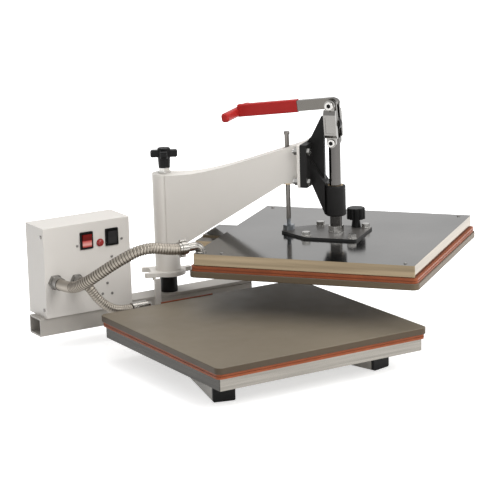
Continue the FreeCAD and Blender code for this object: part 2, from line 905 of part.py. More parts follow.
def make_box():
    left = -S.box_left
    right = left + S.box_wide
    sheet = S.box_sheet
    shell = block("box_outer", (left, right), (BOX_FRONT + sheet, BOX_BACK), (TUBE_TOP, BOX_TOP))
    shell = rounded(
        "box_round", shell, SIZES["box_corner"],
        lambda edge: runs_along(Z_AXIS)(edge) and edge.BoundBox.YMin > float(BOX_BACK) - 1,
    )
    hollow = block(
        "box_hollow", (left + sheet, right - sheet), (BOX_FRONT, BOX_BACK - sheet),
        (TUBE_TOP + sheet, BOX_TOP - sheet),
    )
    inlet = rod(
        "box_inlet_hole", S.inlet_radius, (BOX_BACK - sheet - 1, BOX_BACK + 1),
        (left + S.box_wide / 2, S.inlet_level), "y",
    )
    side_screws = box_side_screws(left, right)
    face_screws = box_face_screws()
    side_holes = [hole for _, hole in side_screws]
    face_holes = [hole for _, hole in face_screws]
    screws, _ = set_of_screws("box_screws", side_screws + face_screws)
    node("box_screws", screws)
    node("box_body", cut("box_body", shell, [hollow, inlet] + side_holes))

    panel = block("front_sheet", (left, right), (BOX_FRONT, BOX_FRONT + sheet), (TUBE_TOP, BOX_TOP))
    panel = rounded(
        "front_round", panel, SIZES["box_sheet"] * 0.6,
        lambda edge: lies_at(Y_AXIS, BOX_FRONT)(edge),
    )
    gap = sheet + S.seam_gap
    flanges = [
        block(
            f"front_flange_{i}", xs, (BOX_FRONT + sheet * 0.5, BOX_FRONT + S.box_flange),
            (TUBE_TOP + gap, BOX_TOP - gap),
        )
        for i, xs in enumerate(((left + gap, left + gap + sheet), (right - gap - sheet, right - gap)))
    ]
    holes = []
    for name, at in (("power", S.power_rocker_at), ("heat", S.heat_rocker_at)):
        half_w = S.rocker_wide / 2 - 1.5
        half_h = S.rocker_high / 2 - 1.5
        holes.append(
            block(
                f"{name}_cutout", (-at - half_w, -at + half_w), (BOX_FRONT - 1, BOX_FRONT + sheet + 1),
                (S.rocker_level - half_h, S.rocker_level + half_h),
            )
        )
    for name, radius, at, level in (
        ("lamp", S.lamp_radius - 1.5, S.lamp_at, S.lamp_level),
        ("upper_gland", S.upper_conduit_radius - 1, S.upper_gland_at, S.upper_gland_level),
        ("lower_gland", S.lower_conduit_radius - 1, S.lower_gland_at, S.lower_gland_level),
    ):
        holes.append(rod(f"{name}_hole", radius, (BOX_FRONT - 1, BOX_FRONT + sheet + 1), (-at, level), "y"))
    front = fuse("front_blank", [panel] + flanges)
    node("box_front", cut("box_front", front, holes + face_holes))

    make_panel_devices()
    make_box_inside(left, right)


def box_side_screws(left, right):
    made = []
    deep = BOX_FRONT + S.box_flange - 5
    for i, level in enumerate((TUBE_TOP + 14, BOX_TOP - 16)):
        made.append(screw(f"box_screw_l{i}", 3.2, 1.8, 1.6, 1.2, (left, deep, level), "x", -1))
        made.append(screw(f"box_screw_r{i}", 3.2, 1.8, 1.6, 1.2, (right, deep, level), "x", 1))
    return made


def box_face_screws():
    """The small screws of the switches, the lamp and the thermostat behind the front sheet."""
    left_of_post = (
        (195.6, 183.2),
        (107.7, 184.5),
        (128.6, 155.0),
        (139.5, 107.6),
        (131.1, 87.8),
        (149.9, 89.5),
    )
    return [
        screw(f"box_screw_f{i}", 2.4, 1.4, 1.3, 1.2, (-at, BOX_FRONT, level), "y", -1)
        for i, (at, level) in enumerate(left_of_post)
    ]


def make_panel_devices():
    frames = []
    for name, at in (("power", S.power_rocker_at), ("heat", S.heat_rocker_at)):
        half_w = S.rocker_wide / 2
        half_h = S.rocker_high / 2
        rim = block(
            f"{name}_rim", (-at - half_w, -at + half_w), (BOX_FRONT - S.rocker_rim, BOX_FRONT),
            (S.rocker_level - half_h, S.rocker_level + half_h),
        )
        rim = rounded(f"{name}_rim_round", rim, 1.5, runs_along(Y_AXIS))
        neck = block(
            f"{name}_neck", (-at - half_w + 1.8, -at + half_w - 1.8),
            (BOX_FRONT - 0.5, BOX_FRONT + S.rocker_depth),
            (S.rocker_level - half_h + 1.8, S.rocker_level + half_h - 1.8),
        )
        well = block(
            f"{name}_well", (-at - half_w + 3.2, -at + half_w - 3.2),
            (BOX_FRONT - S.rocker_rim - 1, BOX_FRONT + S.rocker_depth - 3),
            (S.rocker_level - half_h + 3.2, S.rocker_level + half_h - 3.2),
        )
        frames.append(cut(f"{name}_frame", fuse(f"{name}_frame_blank", [rim, neck]), [well]))
        node(f"{name}_rocker", rocker(f"{name}_rocker", at))
    node("rocker_frames", group("rocker_frames", frames))

    bezel = rod("lamp_bezel", S.lamp_radius, (BOX_FRONT - 1.5, BOX_FRONT), (-S.lamp_at, S.lamp_level), "y")
    tip = BOX_FRONT - 4.5
    stem = rod("lamp_stem", S.lamp_radius - 1.8, (tip, BOX_FRONT + 16), (-S.lamp_at, S.lamp_level), "y")
    stem = rounded("lamp_dome", stem, 2.4, lies_at(Y_AXIS, tip))
    node("pilot_lamp", fuse("pilot_lamp", [bezel, stem]))


def rocker(name, at):
    """A rocker seen from its side: a shallow V face over a round belly, on a cross pin."""
    half = S.rocker_high / 2 - 3.8
    wide = S.rocker_wide / 2 - 3.8
    face = BOX_FRONT - S.rocker_rim - 1.2
    rise = 2.6
    deep = BOX_FRONT + 5
    outline = [
        (face, S.rocker_level - half),
        (face - rise + 1.6, S.rocker_level),
        (face - rise, S.rocker_level + half),
        (deep, S.rocker_level + half - 3),
        (deep + 2, S.rocker_level),
        (deep, S.rocker_level - half + 3),
    ]
    body = plate(f"{name}_paddle", "yz", outline, (-at - wide, -at + wide))
    ends = (-at - wide - 0.5, -at + wide + 0.5)
    pin = rod(f"{name}_pin", 1.5, ends, (BOX_FRONT + 1, S.rocker_level), "x")
    return fuse(name, [body, pin])


def make_box_inside(left, right):
    rail_z = TUBE_TOP + S.box_sheet
    base = block(
        "terminal_base", (left + 20, left + 100), (BOX_BACK - 30, BOX_BACK - 8), (rail_z, rail_z + 16),
    )
    slots = [
        block(
            f"terminal_slot_{i}", (left + 24 + 12 * i, left + 32 + 12 * i), (BOX_BACK - 26, BOX_BACK - 12),
            (rail_z + 9, rail_z + 18),
        )
        for i in range(6)
    ]
    node("terminal_block", cut("terminal_block", base, slots))
    place = (left + S.box_wide / 2, S.inlet_level)
    flange = tube("inlet_flange", S.inlet_radius + 4, 4.0, (BOX_BACK, BOX_BACK + 4), place, "y")
    barrel = tube("inlet_barrel", S.inlet_radius - 0.2, 4.0, (BOX_BACK - 10, BOX_BACK + 14), place, "y")
    node("inlet_gland", fuse("inlet_gland", [flange, barrel]))


# ---------------------------------------------------------------- conduits


def fitting(name, radius, at, level, long):
    """A hexagonal conduit fitting with a clamp ring, out of the box's front."""
    place = (-at, level)
    lock = hexagon(f"{name}_hex", 2 * radius + 4, (BOX_FRONT - 7, BOX_FRONT), place, "y")
    body = rod(f"{name}_body", radius + 1.2, (BOX_FRONT - long, BOX_FRONT - 6), place, "y")
    tail = rod(f"{name}_tail", radius - 1.2, (BOX_FRONT - 1, BOX_FRONT + 12), place, "y")
    nut = rod(f"{name}_nut", radius + 3, (BOX_FRONT + S.box_sheet, BOX_FRONT + S.box_sheet + 5), place, "y")
    bore = rod(f"{name}_bore", radius - 3.5, (BOX_FRONT - long - 1, BOX_FRONT + 13), place, "y")
    return cut(name, fuse(f"{name}_blank", [lock, body, tail, nut]), [bore])


def turned_elbow(name, radius, foot, level, long, heading, low):
    """A bend from a seat on the cover to a clamp body, which leaves in the heading direction.

    foot is where the two legs' axes meet in plan; low is the seat's distance below the level.
    """
    x, y = foot
    bend = S.elbow_bend
    pipe = S.elbow_pipe_radius
    ahead = long - S.clamp_long
    corner = DOC.addObject("Part::Torus", f"{name}_bend")
    bind(corner, "Radius1", bend)
    bind(corner, "Radius2", pipe)
    corner.Angle3 = 90
    put(corner, (bend, 0, -bend), Rotation(X_AXIS, 90).multiply(Rotation(Z_AXIS, 90)))
    leg = rod(f"{name}_leg", pipe, (-low, -bend), (0, 0))
    seat = rod(f"{name}_seat", S.elbow_seat_radius, (-low, -low + 2.4), (0, 0))
    straight = rod(f"{name}_pipe", pipe, (bend, ahead + 1), (0, 0), "x")
    clamp = rod(f"{name}_clamp", radius + 1.0, (ahead, long), (0, 0), "x")
    ring = rod(f"{name}_ring", radius + 2.0, (long - 12, long - 5), (0, 0), "x")
    lugs = [
        rod(f"{name}_lug_{i}", 2.6, (ahead + 3, long - 3), (0, lift * (radius + 3.0)), "x")
        for i, lift in enumerate((-1, 1))
    ]
    whole = fuse(name, [corner, leg, seat, straight, clamp, ring] + lugs)
    whole.Placement = Placement(Vector(float(x), float(y), float(level)), Rotation(Z_AXIS, float(heading)))
    for letter, value in zip("xyz", (x, y, level)):
        whole.setExpression(f"Placement.Base.{letter}", as_size(value).text)
    return whole


def cord_tube(name, radius, points):
    """A conduit's tube: straight runs joined by tangent arcs as large as the runs allow."""
    spots = [Vector(*p) for p in points]
    edges = []
    start = spots[0]
    radii = []
    for i in range(1, len(spots) - 1):
        before = spots[i] - spots[i - 1]
        after = spots[i + 1] - spots[i]
        half_turn = before.getAngle(after) / 2
        reach = 0.45 * min(before.Length, after.Length)
        radii.append(reach / math.tan(half_turn))
        a = spots[i] - before.normalize() * reach
        b = spots[i] + after.normalize() * reach
        inward = (a + b) * 0.5 - spots[i]
        middle = spots[i] + inward.normalize() * (radii[-1] * (1 / math.cos(half_turn) - 1))
        edges.append(Part.LineSegment(start, a).toShape())
        edges.append(Part.Arc(a, middle, b).toShape())
        start = b
    edges.append(Part.LineSegment(start, spots[-1]).toShape())
    path = Part.Wire(edges)
    way = (spots[1] - spots[0]).normalize()
    profile = Part.Wire(Part.Circle(spots[0], way, radius).toShape())
    thing = DOC.addObject("Part::Feature", name)
    thing.Shape = path.makePipeShell([profile], True, True)
    want = math.pi * radius**2 * path.Length
    print(f"{name}: length {path.Length:.1f}, volume ratio {thing.Shape.Volume / want:.4f}")
    print(f"{name}: radii {[round(r) for r in radii]}")
    return thing


def turned(x, y, angle):
    c, s = math.cos(math.radians(angle)), math.sin(math.radians(angle))
    return x * c - y * s, x * s + y * c


# each point's share of the way from the conduit's start to its end, in x, y and z
UPPER_ROUTE = (
    (0.0, 0.251, 0.0),
    (0.014, 0.599, 0.329),
    (0.284, 0.833, 0.832),
    (0.569, 0.983, 1.157),
    (0.934, 1.0, 1.0),
)
LOWER_ROUTE = (
    (0.0, 0.542, 0.0),
    (0.121, 0.829, 0.404),
    (0.3575, 0.957, 0.786),
    (0.671, 1.0, 1.0),
)


def route_between(start, end, shares):
    middle = [
        tuple(a + share * (b - a) for a, b, share in zip(start, end, point)) for point in shares
    ]
    print("route", [tuple(round(v, 1) for v in p) for p in [start, *middle, end]])
    return [start, *middle, end]


def make_conduits():
    glands = [
        fitting("upper_gland", S.upper_conduit_radius, S.upper_gland_at, S.upper_gland_level, S.gland_long),
        fitting("lower_gland", S.lower_conduit_radius, S.lower_gland_at, S.lower_gland_level, S.gland_long),
    ]
    node("conduit_glands", group("conduit_glands", glands))

    upper_level = UPPER_TOP + S.elbow_level
    elbow = turned_elbow(
        "upper_elbow", S.upper_conduit_radius, (-ELBOW_ACROSS, -ELBOW_AHEAD), upper_level,
        S.elbow_long, 180 - SIZES["swing_open"], S.elbow_level,
    )
    arm_node("upper_elbow", elbow)
    x, y = turned(-float(ELBOW_ACROSS), -float(ELBOW_AHEAD), SIZES["swing_open"])
    z = float(upper_level)
    gap = SIZES["seam_gap"]
    end = (x - SIZES["elbow_long"] - gap, y, z)
    gland_x = -SIZES["upper_gland_at"]
    gland_z = SIZES["upper_gland_level"]
    gland_y = float(BOX_FRONT) - SIZES["gland_long"] - gap
    route = route_between((gland_x, gland_y, gland_z), end, UPPER_ROUTE)
    node("upper_conduit", cord_tube("upper_conduit", SIZES["upper_conduit_radius"], route))

    back = -S.platen_reach + HALF_COVER
    behind = back + S.lower_elbow_behind - 4
    entry = (-S.lower_elbow_at, LOWER_BASE + S.cover_high / 2)
    pipe = rod("lower_elbow_pipe", S.lower_conduit_radius - 0.3, (back - 1.4, behind), entry, "y")
    washer = rod("lower_elbow_washer", S.lower_conduit_radius + 1.8, (back, back + 4), entry, "y")
    riser = rod(
        "lower_elbow_riser", S.lower_conduit_radius + 0.6,
        (entry[1] - 9, S.lower_elbow_level + 6), (-S.lower_elbow_at, behind),
    )
    clamp = rod(
        "lower_elbow_clamp", S.lower_conduit_radius + 1.8,
        (-S.lower_elbow_at - S.lower_elbow_long, -S.lower_elbow_at), (behind, S.lower_elbow_level), "x",
    )
    node("lower_elbow", fuse("lower_elbow", [pipe, washer, riser, clamp]))
    start = (-SIZES["lower_gland_at"], gland_y, SIZES["lower_gland_level"])
    finish = (
        -SIZES["lower_elbow_at"] - SIZES["lower_elbow_long"] - gap,
        float(behind),
        SIZES["lower_elbow_level"],
    )
    route = route_between(start, finish, LOWER_ROUTE)
    node("lower_conduit", cord_tube("lower_conduit", SIZES["lower_conduit_radius"], route))


# ---------------------------------------------------------------- arm


def make_arm():
    sleeve = rod("sleeve_outer", S.sleeve_radius, (S.sleeve_bottom, S.sleeve_top), (0, 0))
    sleeve = rounded("sleeve_round", sleeve, 1.0, lies_at(Z_AXIS, S.sleeve_top))
    under_cap = S.sleeve_top - S.sleeve_cap
    bore = rod("sleeve_bore", S.sleeve_bore, (S.sleeve_bottom - 1, under_cap), (0, 0))
    hole = rod("sleeve_cap_hole", S.stud_radius + 0.6, (under_cap - 1, S.sleeve_top + 1), (0, 0))
    arm_node("arm_sleeve", cut("arm_sleeve", sleeve, [bore, hole]))

    bush_top = S.post_top - 2
    bushes = [
        tube(name, S.sleeve_bore - S.seated, S.post_radius + S.running, span, (0, 0))
        for name, span in (
            ("bush_low", (S.sleeve_bottom, S.sleeve_bottom + S.bush_long)),
            ("bush_high", (bush_top - S.bush_long, bush_top)),
        )
    ]
    arm_node("sleeve_bushes", group("sleeve_bushes", bushes))
    washer_span = (under_cap - S.washer_thick, under_cap)
    arm_node(
        "thrust_washer",
        tube("thrust_washer", S.post_radius, S.stud_radius + 0.6, washer_span, (0, 0)),
    )
    make_flange()
    make_beam()


def make_flange():
    """The indexing disc under the sleeve: a two-pronged fork, a small tab and the stop's pin."""
    zs = (S.sleeve_bottom, S.sleeve_bottom + S.flange_thick)
    disc = rod("flange_disc", S.flange_radius, zs, (0, 0))
    half = S.fork_wide / 2
    prongs = block("flange_prongs", (0, S.fork_reach), (-half, half), zs)
    prongs = rounded(
        "flange_prongs_round", prongs, 4.0,
        lambda edge: runs_along(Z_AXIS)(edge) and edge.BoundBox.XMin > 1,
    )
    slot_half = S.fork_slot / 2
    slot = block(
        "flange_slot", (S.fork_reach - S.fork_deep, S.fork_reach + 1), (-slot_half, slot_half),
        (zs[0] - 1, zs[1] + 1),
    )
    slot = rounded(
        "flange_slot_round", slot, 6.0,
        lambda edge: runs_along(Z_AXIS)(edge) and edge.BoundBox.XMax < SIZES["fork_reach"],
    )
    fork = cut("flange_fork", prongs, [slot])
    fork.Placement = Placement(Vector(), Rotation(Z_AXIS, SIZES["fork_turn"]))
    tab = block("flange_tab", (0, S.tab_reach), (-S.tab_wide / 2, S.tab_wide / 2), zs)
    tab = rounded(
        "flange_tab_round", tab, 3.0,
        lambda edge: runs_along(Z_AXIS)(edge) and edge.BoundBox.XMin > 1,
    )
    tab = group("flange_tab_turned", [tab])
    tab.Placement = Placement(Vector(), Rotation(Z_AXIS, SIZES["tab_turn"]))
    hole = rod("flange_hole", S.sleeve_radius + S.seated, (zs[0] - 1, zs[1] + 1), (0, 0))
    pin_place = (S.stop_pin_reach * cosine(S.stop_pin_turn), S.stop_pin_reach * sine(S.stop_pin_turn))
    pin = rod("stop_pin", S.stop_pin_radius, (zs[0] - S.stop_pin_long, zs[0] + 2), pin_place)
    shape = fuse("flange_shape", [disc, fork, tab, pin])
    arm_node("index_flange", cut("index_flange", shape, [hole]))


def beam_top_points():
    """The beam's top edge, from the sleeve outwards: level at first, then rising."""
    rise = S.beam_end_high - S.sleeve_top
    reach = BEAM_END - S.sleeve_radius
    shares = ((0.0, 0.0), (0.14, 0.055), (0.27, 0.155), (0.40, 0.285), (0.52, 0.42))
    return [(S.sleeve_radius + reach * a, S.sleeve_top + rise * b) for a, b in shares]


def make_beam():
    start = S.sleeve_radius - 14
    low = [
        (-start, S.sleeve_top - 1.0),
        (-start, S.beam_root_low),
        (-S.sleeve_radius, S.beam_root_low),
        (-BEAM_BEND, S.beam_end_low),
        (-BEAM_END, S.beam_end_low),
        (-BEAM_END, S.beam_end_high),
    ]
    top = [(-s, z - 0.4) for s, z in reversed(beam_top_points())]
    outline = low + top
    beam = plate("beam_solid", "yz", outline, (-BEAM_HALF, BEAM_HALF))
    wall = S.beam_wall
    lip = S.rod_radius + 6
    inside = [
        (-S.sleeve_radius - 6, S.sleeve_top - 12),
        (-S.sleeve_radius - 6, S.beam_root_low + 14),
        (-BEAM_BEND + lip + 3, S.beam_end_low + wall),
        (-BEAM_END + wall, S.beam_end_low + wall),
        (-BEAM_END + wall, S.beam_end_high - 8),
        (-BEAM_BEND * 0.62, S.sleeve_top + 12),
    ]
    hollow = plate("beam_hollow", "yz", inside, (-BEAM_HALF + wall, BEAM_HALF - wall))
    sleeve_span = (S.beam_root_low - 20, S.sleeve_top + 5)
    sleeve = rod("beam_sleeve_space", S.sleeve_radius + S.seated, sleeve_span, (0, 0))
    rod_at = S.platen_reach - S.rod_behind
    high_span = (S.beam_end_high - 30, S.beam_end_high + 5)
    high_hole = rod("beam_rod_high", S.rod_radius + 2.5, high_span, (0, -rod_at))
    low_span = (S.beam_end_low - 2, S.beam_end_low + wall + 2)
    low_hole = rod("beam_rod_low", S.rod_radius + 3, low_span, (0, -rod_at))
    seat = rod("beam_bush_seat", lip + 0.1, (S.beam_end_low - 15, S.beam_end_low), (0, -rod_at))
    arm_node("arm_beam", cut("arm_beam", beam, [hollow, sleeve, high_hole, low_hole, seat]))

    body = tube(
        "guide_bush_body", S.rod_radius + 2.9, S.rod_radius + S.running,
        (S.beam_end_low - 3, S.beam_end_low + wall + 8), (0, -rod_at),
    )
    collar = tube(
        "guide_bush_lip", lip, S.rod_radius + S.running,
        (S.beam_end_low - 4, S.beam_end_low), (0, -rod_at),
    )
    arm_node("guide_bush", fuse("guide_bush", [body, collar]))

    half = S.end_plate_wide / 2
    levels = (S.end_plate_low, S.end_plate_high)
    flange = block("end_plate_blank", (-half, half), (-BASE_FACE, -BEAM_END), levels)
    flange = rounded("end_plate_round", flange, 3.0, runs_along(Y_AXIS))
    holes = bolt_holes("end_plate", (-BASE_FACE - 1, -BEAM_END + 1))
    arm_node("arm_end_plate", cut("arm_end_plate", flange, holes))


def bolt_places():
    return [(side * S.bolt_across / 2, level) for side in (-1, 1) for level in (S.bolt_low, S.bolt_high)]


def bolt_holes(name, span):
    return [
        rod(f"{name}_hole_{i}", S.bolt_radius + 0.3, span, place, "y")
        for i, place in enumerate(bolt_places())
    ]


def make_bracket():
    reach = S.platen_reach
    half = S.end_plate_wide / 2
    levels = (S.end_plate_low, S.end_plate_high)
    base = block("bracket_base", (-half, half), (-BASE_BACK, -BASE_FACE), levels)
    base = rounded("bracket_base_round", base, 3.0, runs_along(Y_AXIS))
    inner = S.platen_reach - S.barrel_radius
    web_face = S.platen_reach - S.web_back
    outline = [
        (-BASE_FACE - 4, S.end_plate_low + 2),
        (-BASE_BACK - 1, S.end_plate_low),
        (-inner - 4, S.barrel_low),
        (-inner - 8, S.barrel_high),
        (-web_face, S.barrel_high),
        (-web_face, S.pivot_level - 20),
        (-reach + 4, S.pivot_level - S.lug_radius + 0.6),
        (-reach + 4, S.pivot_level + S.lug_radius - 0.6),
        (-inner + 4, S.pivot_level + S.lug_radius),
        (-BASE_BACK, S.pivot_level - 22),
        (-BASE_FACE - 2, S.end_plate_high - 1),
    ]
    web = plate("bracket_web", "yz", outline, (-S.web_thick / 2, S.web_thick / 2))
    boss_span = (-S.boss_thick / 2, S.boss_thick / 2)
    boss = rod("bracket_boss", S.lug_radius, boss_span, (-reach, S.pivot_level), "x")
    barrel = rod("bracket_barrel", S.barrel_radius, (S.barrel_low, S.barrel_high), (0, -reach))
    barrel = rounded(
        "bracket_barrel_round", barrel, 2.5,
        lambda edge: lies_at(Z_AXIS, S.barrel_high)(edge) or lies_at(Z_AXIS, S.barrel_low)(edge),
    )
    rib_end = reach - S.rib_barrel_back
    rib = plate(
        "bracket_rib", "yz",
        [
            (-BASE_FACE - 4, S.rib_low),
            (-BASE_BACK, S.rib_low),
            (-rib_end, S.rib_barrel_low),
            (-rib_end, S.rib_barrel_high),
            (-BASE_BACK, S.rib_high),
            (-BASE_FACE - 4, S.rib_high),
        ],
        (-S.rib_wide / 2, S.rib_wide / 2),
    )
    blank = fuse("bracket_blank", [base, web, boss, barrel, rib])
    holes = bolt_holes("bracket", (-BASE_BACK - 8, -BASE_FACE + 1))
    holes.append(rod("bracket_bore", S.barrel_bore, (S.barrel_low - 1, S.barrel_high + 1), (0, -reach)))
    holes.append(rod("bracket_eye", S.pin_radius + S.seated, (-20, 20), (-reach, S.pivot_level), "x"))
    arm_node("toggle_bracket", cut("toggle_bracket", blank, holes))

    bush = tube(
        "barrel_bush", S.barrel_bore - S.seated, S.shaft_radius + S.running,
        (S.barrel_low, S.barrel_high), (0, -reach),
    )
    arm_node("barrel_bush", bush)
    pin_span = (-CHEEK_OUT + 0.3, CHEEK_OUT - 0.3)
    arm_node("frame_pin", rod("frame_pin", S.pin_radius, pin_span, (-reach, S.pivot_level), "x"))
    bolts = []
    for i, place in enumerate(bolt_places()):
        head = hexagon(f"bracket_head_{i}", S.bolt_flats, (-BASE_BACK - 5.3, -BASE_BACK), place, "y")
        shank = rod(f"bracket_shank_{i}", S.bolt_radius, (-BASE_BACK - 0.5, -BEAM_END + 10), place, "y")
        bolts.append(fuse(f"bracket_bolt_{i}", [head, shank]))
        nut_span = (-BEAM_END, -BEAM_END + 6.5)
        nut = hexagon(f"bracket_nut_blank_{i}", S.bolt_flats, nut_span, place, "y")
        hole_span = (-BEAM_END - 1, -BEAM_END + 8)
        hole = rod(f"bracket_nut_hole_{i}", S.bolt_radius + 0.05, hole_span, place, "y")
        bolts.append(cut(f"bracket_nut_{i}", nut, [hole]))
    arm_node("bracket_bolts", group("bracket_bolts", bolts))


# ---------------------------------------------------------------- toggle


def make_handle():
    reach = S.platen_reach
    pin_y = -(reach - CRANK_BACK)
    slope = SIZES["bar_slope"]
    half = S.bar_thick / 2
    bar = block("bar_blank", (-half, half), (0, S.bar_long), (-S.bar_high / 2, S.bar_high / 2))
    end = rod("bar_end", S.bar_high / 2, (-half, half), (0, 0), "x")
    bar = fuse("bar_shape", [bar, end])
    lean_bar(bar, pin_y, slope)

    cheeks = []
    for side in (-1, 1):
        span = (half, CHEEK_OUT) if side > 0 else (-CHEEK_OUT, -half)
        name = f"cheek_{'back' if side > 0 else 'front'}"
        lower = rod(f"{name}_low", S.cheek_radius, span, (-reach, S.pivot_level), "x")
        upper = rod(f"{name}_high", S.cheek_radius, span, (pin_y, CRANK_PIN), "x")
        web = plate(
            f"{name}_web", "yz",
            [
                (-reach - S.cheek_radius, S.pivot_level),
                (-reach + S.cheek_radius, S.pivot_level),
                (pin_y + S.cheek_radius, CRANK_PIN),
                (pin_y - S.cheek_radius, CRANK_PIN),
            ],
            span,
        )
        cheeks.append(fuse(name, [lower, upper, web]))
    blank = fuse("handle_blank", [bar] + cheeks)
    holes = [
        rod("handle_eye_low", S.pin_radius + S.running, (-30, 30), (-reach, S.pivot_level), "x"),
        rod("handle_eye_high", S.pin_radius + S.seated, (-30, 30), (pin_y, CRANK_PIN), "x"),
    ]
    arm_node("handle_bar", cut("handle_bar", blank, holes))

    skin = S.grip_skin
    grip = block(
        "grip_blank", (-half - skin, half + skin), (S.grip_start, S.bar_long + skin),
        (-S.bar_high / 2 - skin, S.bar_high / 2 + skin),
    )
    grip = rounded("grip_round", grip, 3.0, runs_along(Y_AXIS))
    tee = block(
        "tee_blank", (-S.tee_long / 2, S.tee_long / 2), (S.bar_long, S.bar_long + S.tee_thick),
        (-S.tee_high / 2 - 3, S.tee_high / 2 - 3),
    )
    tee = rounded("tee_round", tee, 5.0, lambda e: True)
    core_half = S.bar_high / 2 + S.running
    core = block(
        "grip_core", (-half - S.running, half + S.running), (S.grip_start - 1, S.bar_long + S.running),
        (-core_half, core_half),
    )
    red = cut("grip_shape", fuse("grip_fused", [grip, tee]), [core])
    lean_bar(red, pin_y, slope)
    arm_node("handle_grip", group("handle_grip", [red]))

    pin = rod("crank_pin", S.pin_radius, (-LINK_OUT - 0.5, LINK_OUT + 0.5), (pin_y, CRANK_PIN), "x")
    head = eye_head("crank_head", -LINK_OUT - 4.3, -LINK_OUT - 0.3, pin_y, CRANK_PIN, S.eye_radius)
    tail = rod("crank_tail", S.eye_radius, (LINK_OUT + 0.3, LINK_OUT + 3.3), (pin_y, CRANK_PIN), "x")
    arm_node("handle_pin", fuse("handle_pin", [pin, head, tail]))


def eye_head(name, low, high, y, z, radius):
    """A round screw head with a hexagon socket, facing the front of the arm."""
    head = rod(f"{name}_disc", radius, (low, high), (y, z), "x")
    head = rounded(f"{name}_round", head, 0.8, lies_at(X_AXIS, low))
    socket = hexagon(f"{name}_socket", 7.0, (as_size(low) - 1, as_size(low) + 3), (y, z), "x")
    return cut(name, head, [socket])


def lean_bar(thing, pin_y, slope):
    """Sets the lever on the crank pin, rising from its tip to the pin."""
    thing.Placement = Placement(
        Vector(0, float(pin_y), float(CRANK_PIN) + SIZES["bar_rise"]), Rotation(X_AXIS, -slope)
    )
    thing.setExpression("Placement.Base.y", pin_y.text)
    thing.setExpression("Placement.Base.z", (CRANK_PIN + S.bar_rise).text)
    return thing


def make_links():
    reach = S.platen_reach
    pin_y = -(reach - CRANK_BACK)
    for name, side in (("front_link", -1), ("back_link", 1)):
        outer = LINK_IN + (S.link_block if side < 0 else S.link_thick + 2)
        span = (-outer, -LINK_IN) if side < 0 else (LINK_IN, outer)
        half = S.link_wide / 2
        low_eye = rod(f"{name}_low", half - 2.5, span, (-reach, CLEVIS_PIN), "x")
        high_eye = rod(f"{name}_high", half - 1.5, span, (pin_y, CRANK_PIN), "x")
        web = plate(
            f"{name}_web", "yz",
            [
                (-reach - half, CLEVIS_PIN + 8),
                (-reach + half, CLEVIS_PIN + 8),
                (pin_y + half, CRANK_PIN - 8),
                (pin_y - half, CRANK_PIN - 8),
            ],
            span,
        )
        neck = plate(
            f"{name}_neck", "yz",
            [
                (-reach - half + 2.5, CLEVIS_PIN),
                (-reach + half - 2.5, CLEVIS_PIN),
                (pin_y + half - 2.5, CRANK_PIN),
                (pin_y - half + 2.5, CRANK_PIN),
            ],
            span,
        )
        outline = fuse(f"{name}_outline", [low_eye, high_eye, web, neck])
        side_view = [
            (side * LINK_IN, CLEVIS_PIN - 12),
            (side * LINK_IN, CRANK_PIN + 12),
            (side * LINK_OUT, CRANK_PIN + 12),
            (side * LINK_OUT, CRANK_PIN - 8.5),
            (side * outer, CRANK_PIN - 16),
            (side * outer, CLEVIS_PIN + 14),
            (side * LINK_OUT, CLEVIS_PIN + 9),
            (side * LINK_OUT, CLEVIS_PIN - 12),
        ]
        profile = plate(f"{name}_profile", "xz", side_view, (-reach - 20, -reach + 20))
        shape = common(f"{name}_shape", [outline, profile])
        if side < 0:
            shape = cut(f"{name}_pocketed", shape, [link_pocket(reach, pin_y, outer)])
        hole = rod(f"{name}_eye", S.pin_radius + S.running, (-40, 40), (pin_y, CRANK_PIN), "x")
        low_hole = rod(f"{name}_low_eye", S.pin_radius + S.seated, (-40, 40), (-reach, CLEVIS_PIN), "x")
        arm_node(name, cut(name, shape, [hole, low_hole]))

    screws = []
    radius = S.eye_radius - 0.8
    for side in (-1, 1):
        name = f"link_screw_{'front' if side < 0 else 'back'}"
        inside = S.shaft_radius + 0.6
        span = (-LINK_OUT - 0.5, -inside) if side < 0 else (inside, LINK_OUT + 0.5)
        shank = rod(f"{name}_shank", S.pin_radius, span, (-reach, CLEVIS_PIN), "x")
        if side < 0:
            head = eye_head(f"{name}_head", -LINK_OUT - 4, -LINK_OUT, -reach, CLEVIS_PIN, radius)
        else:
            head = rod(f"{name}_head", radius, (LINK_OUT, LINK_OUT + 3), (-reach, CLEVIS_PIN), "x")
        screws.append(fuse(name, [shank, head]))
    arm_node("link_screws", group("link_screws", screws))


def link_pocket(reach, pin_y, outer):
    """The shallow pocket that the forging has in its thick middle."""
    half = S.link_wide / 2 - S.pocket_rim
    low = CLEVIS_PIN + S.pocket_low
    high = CRANK_PIN - S.pocket_high
    lean = CRANK_BACK / LINK_DROP
    low_y = -reach + lean * S.pocket_low
    high_y = pin_y - lean * S.pocket_high
    outline = [(low_y - half, low), (low_y + half, low), (high_y + half, high), (high_y - half, high)]
    return plate("link_pocket", "yz", outline, (-outer - 1, -outer + S.pocket_deep))


# ---------------------------------------------------------------- plunger, plate, rod, knobs


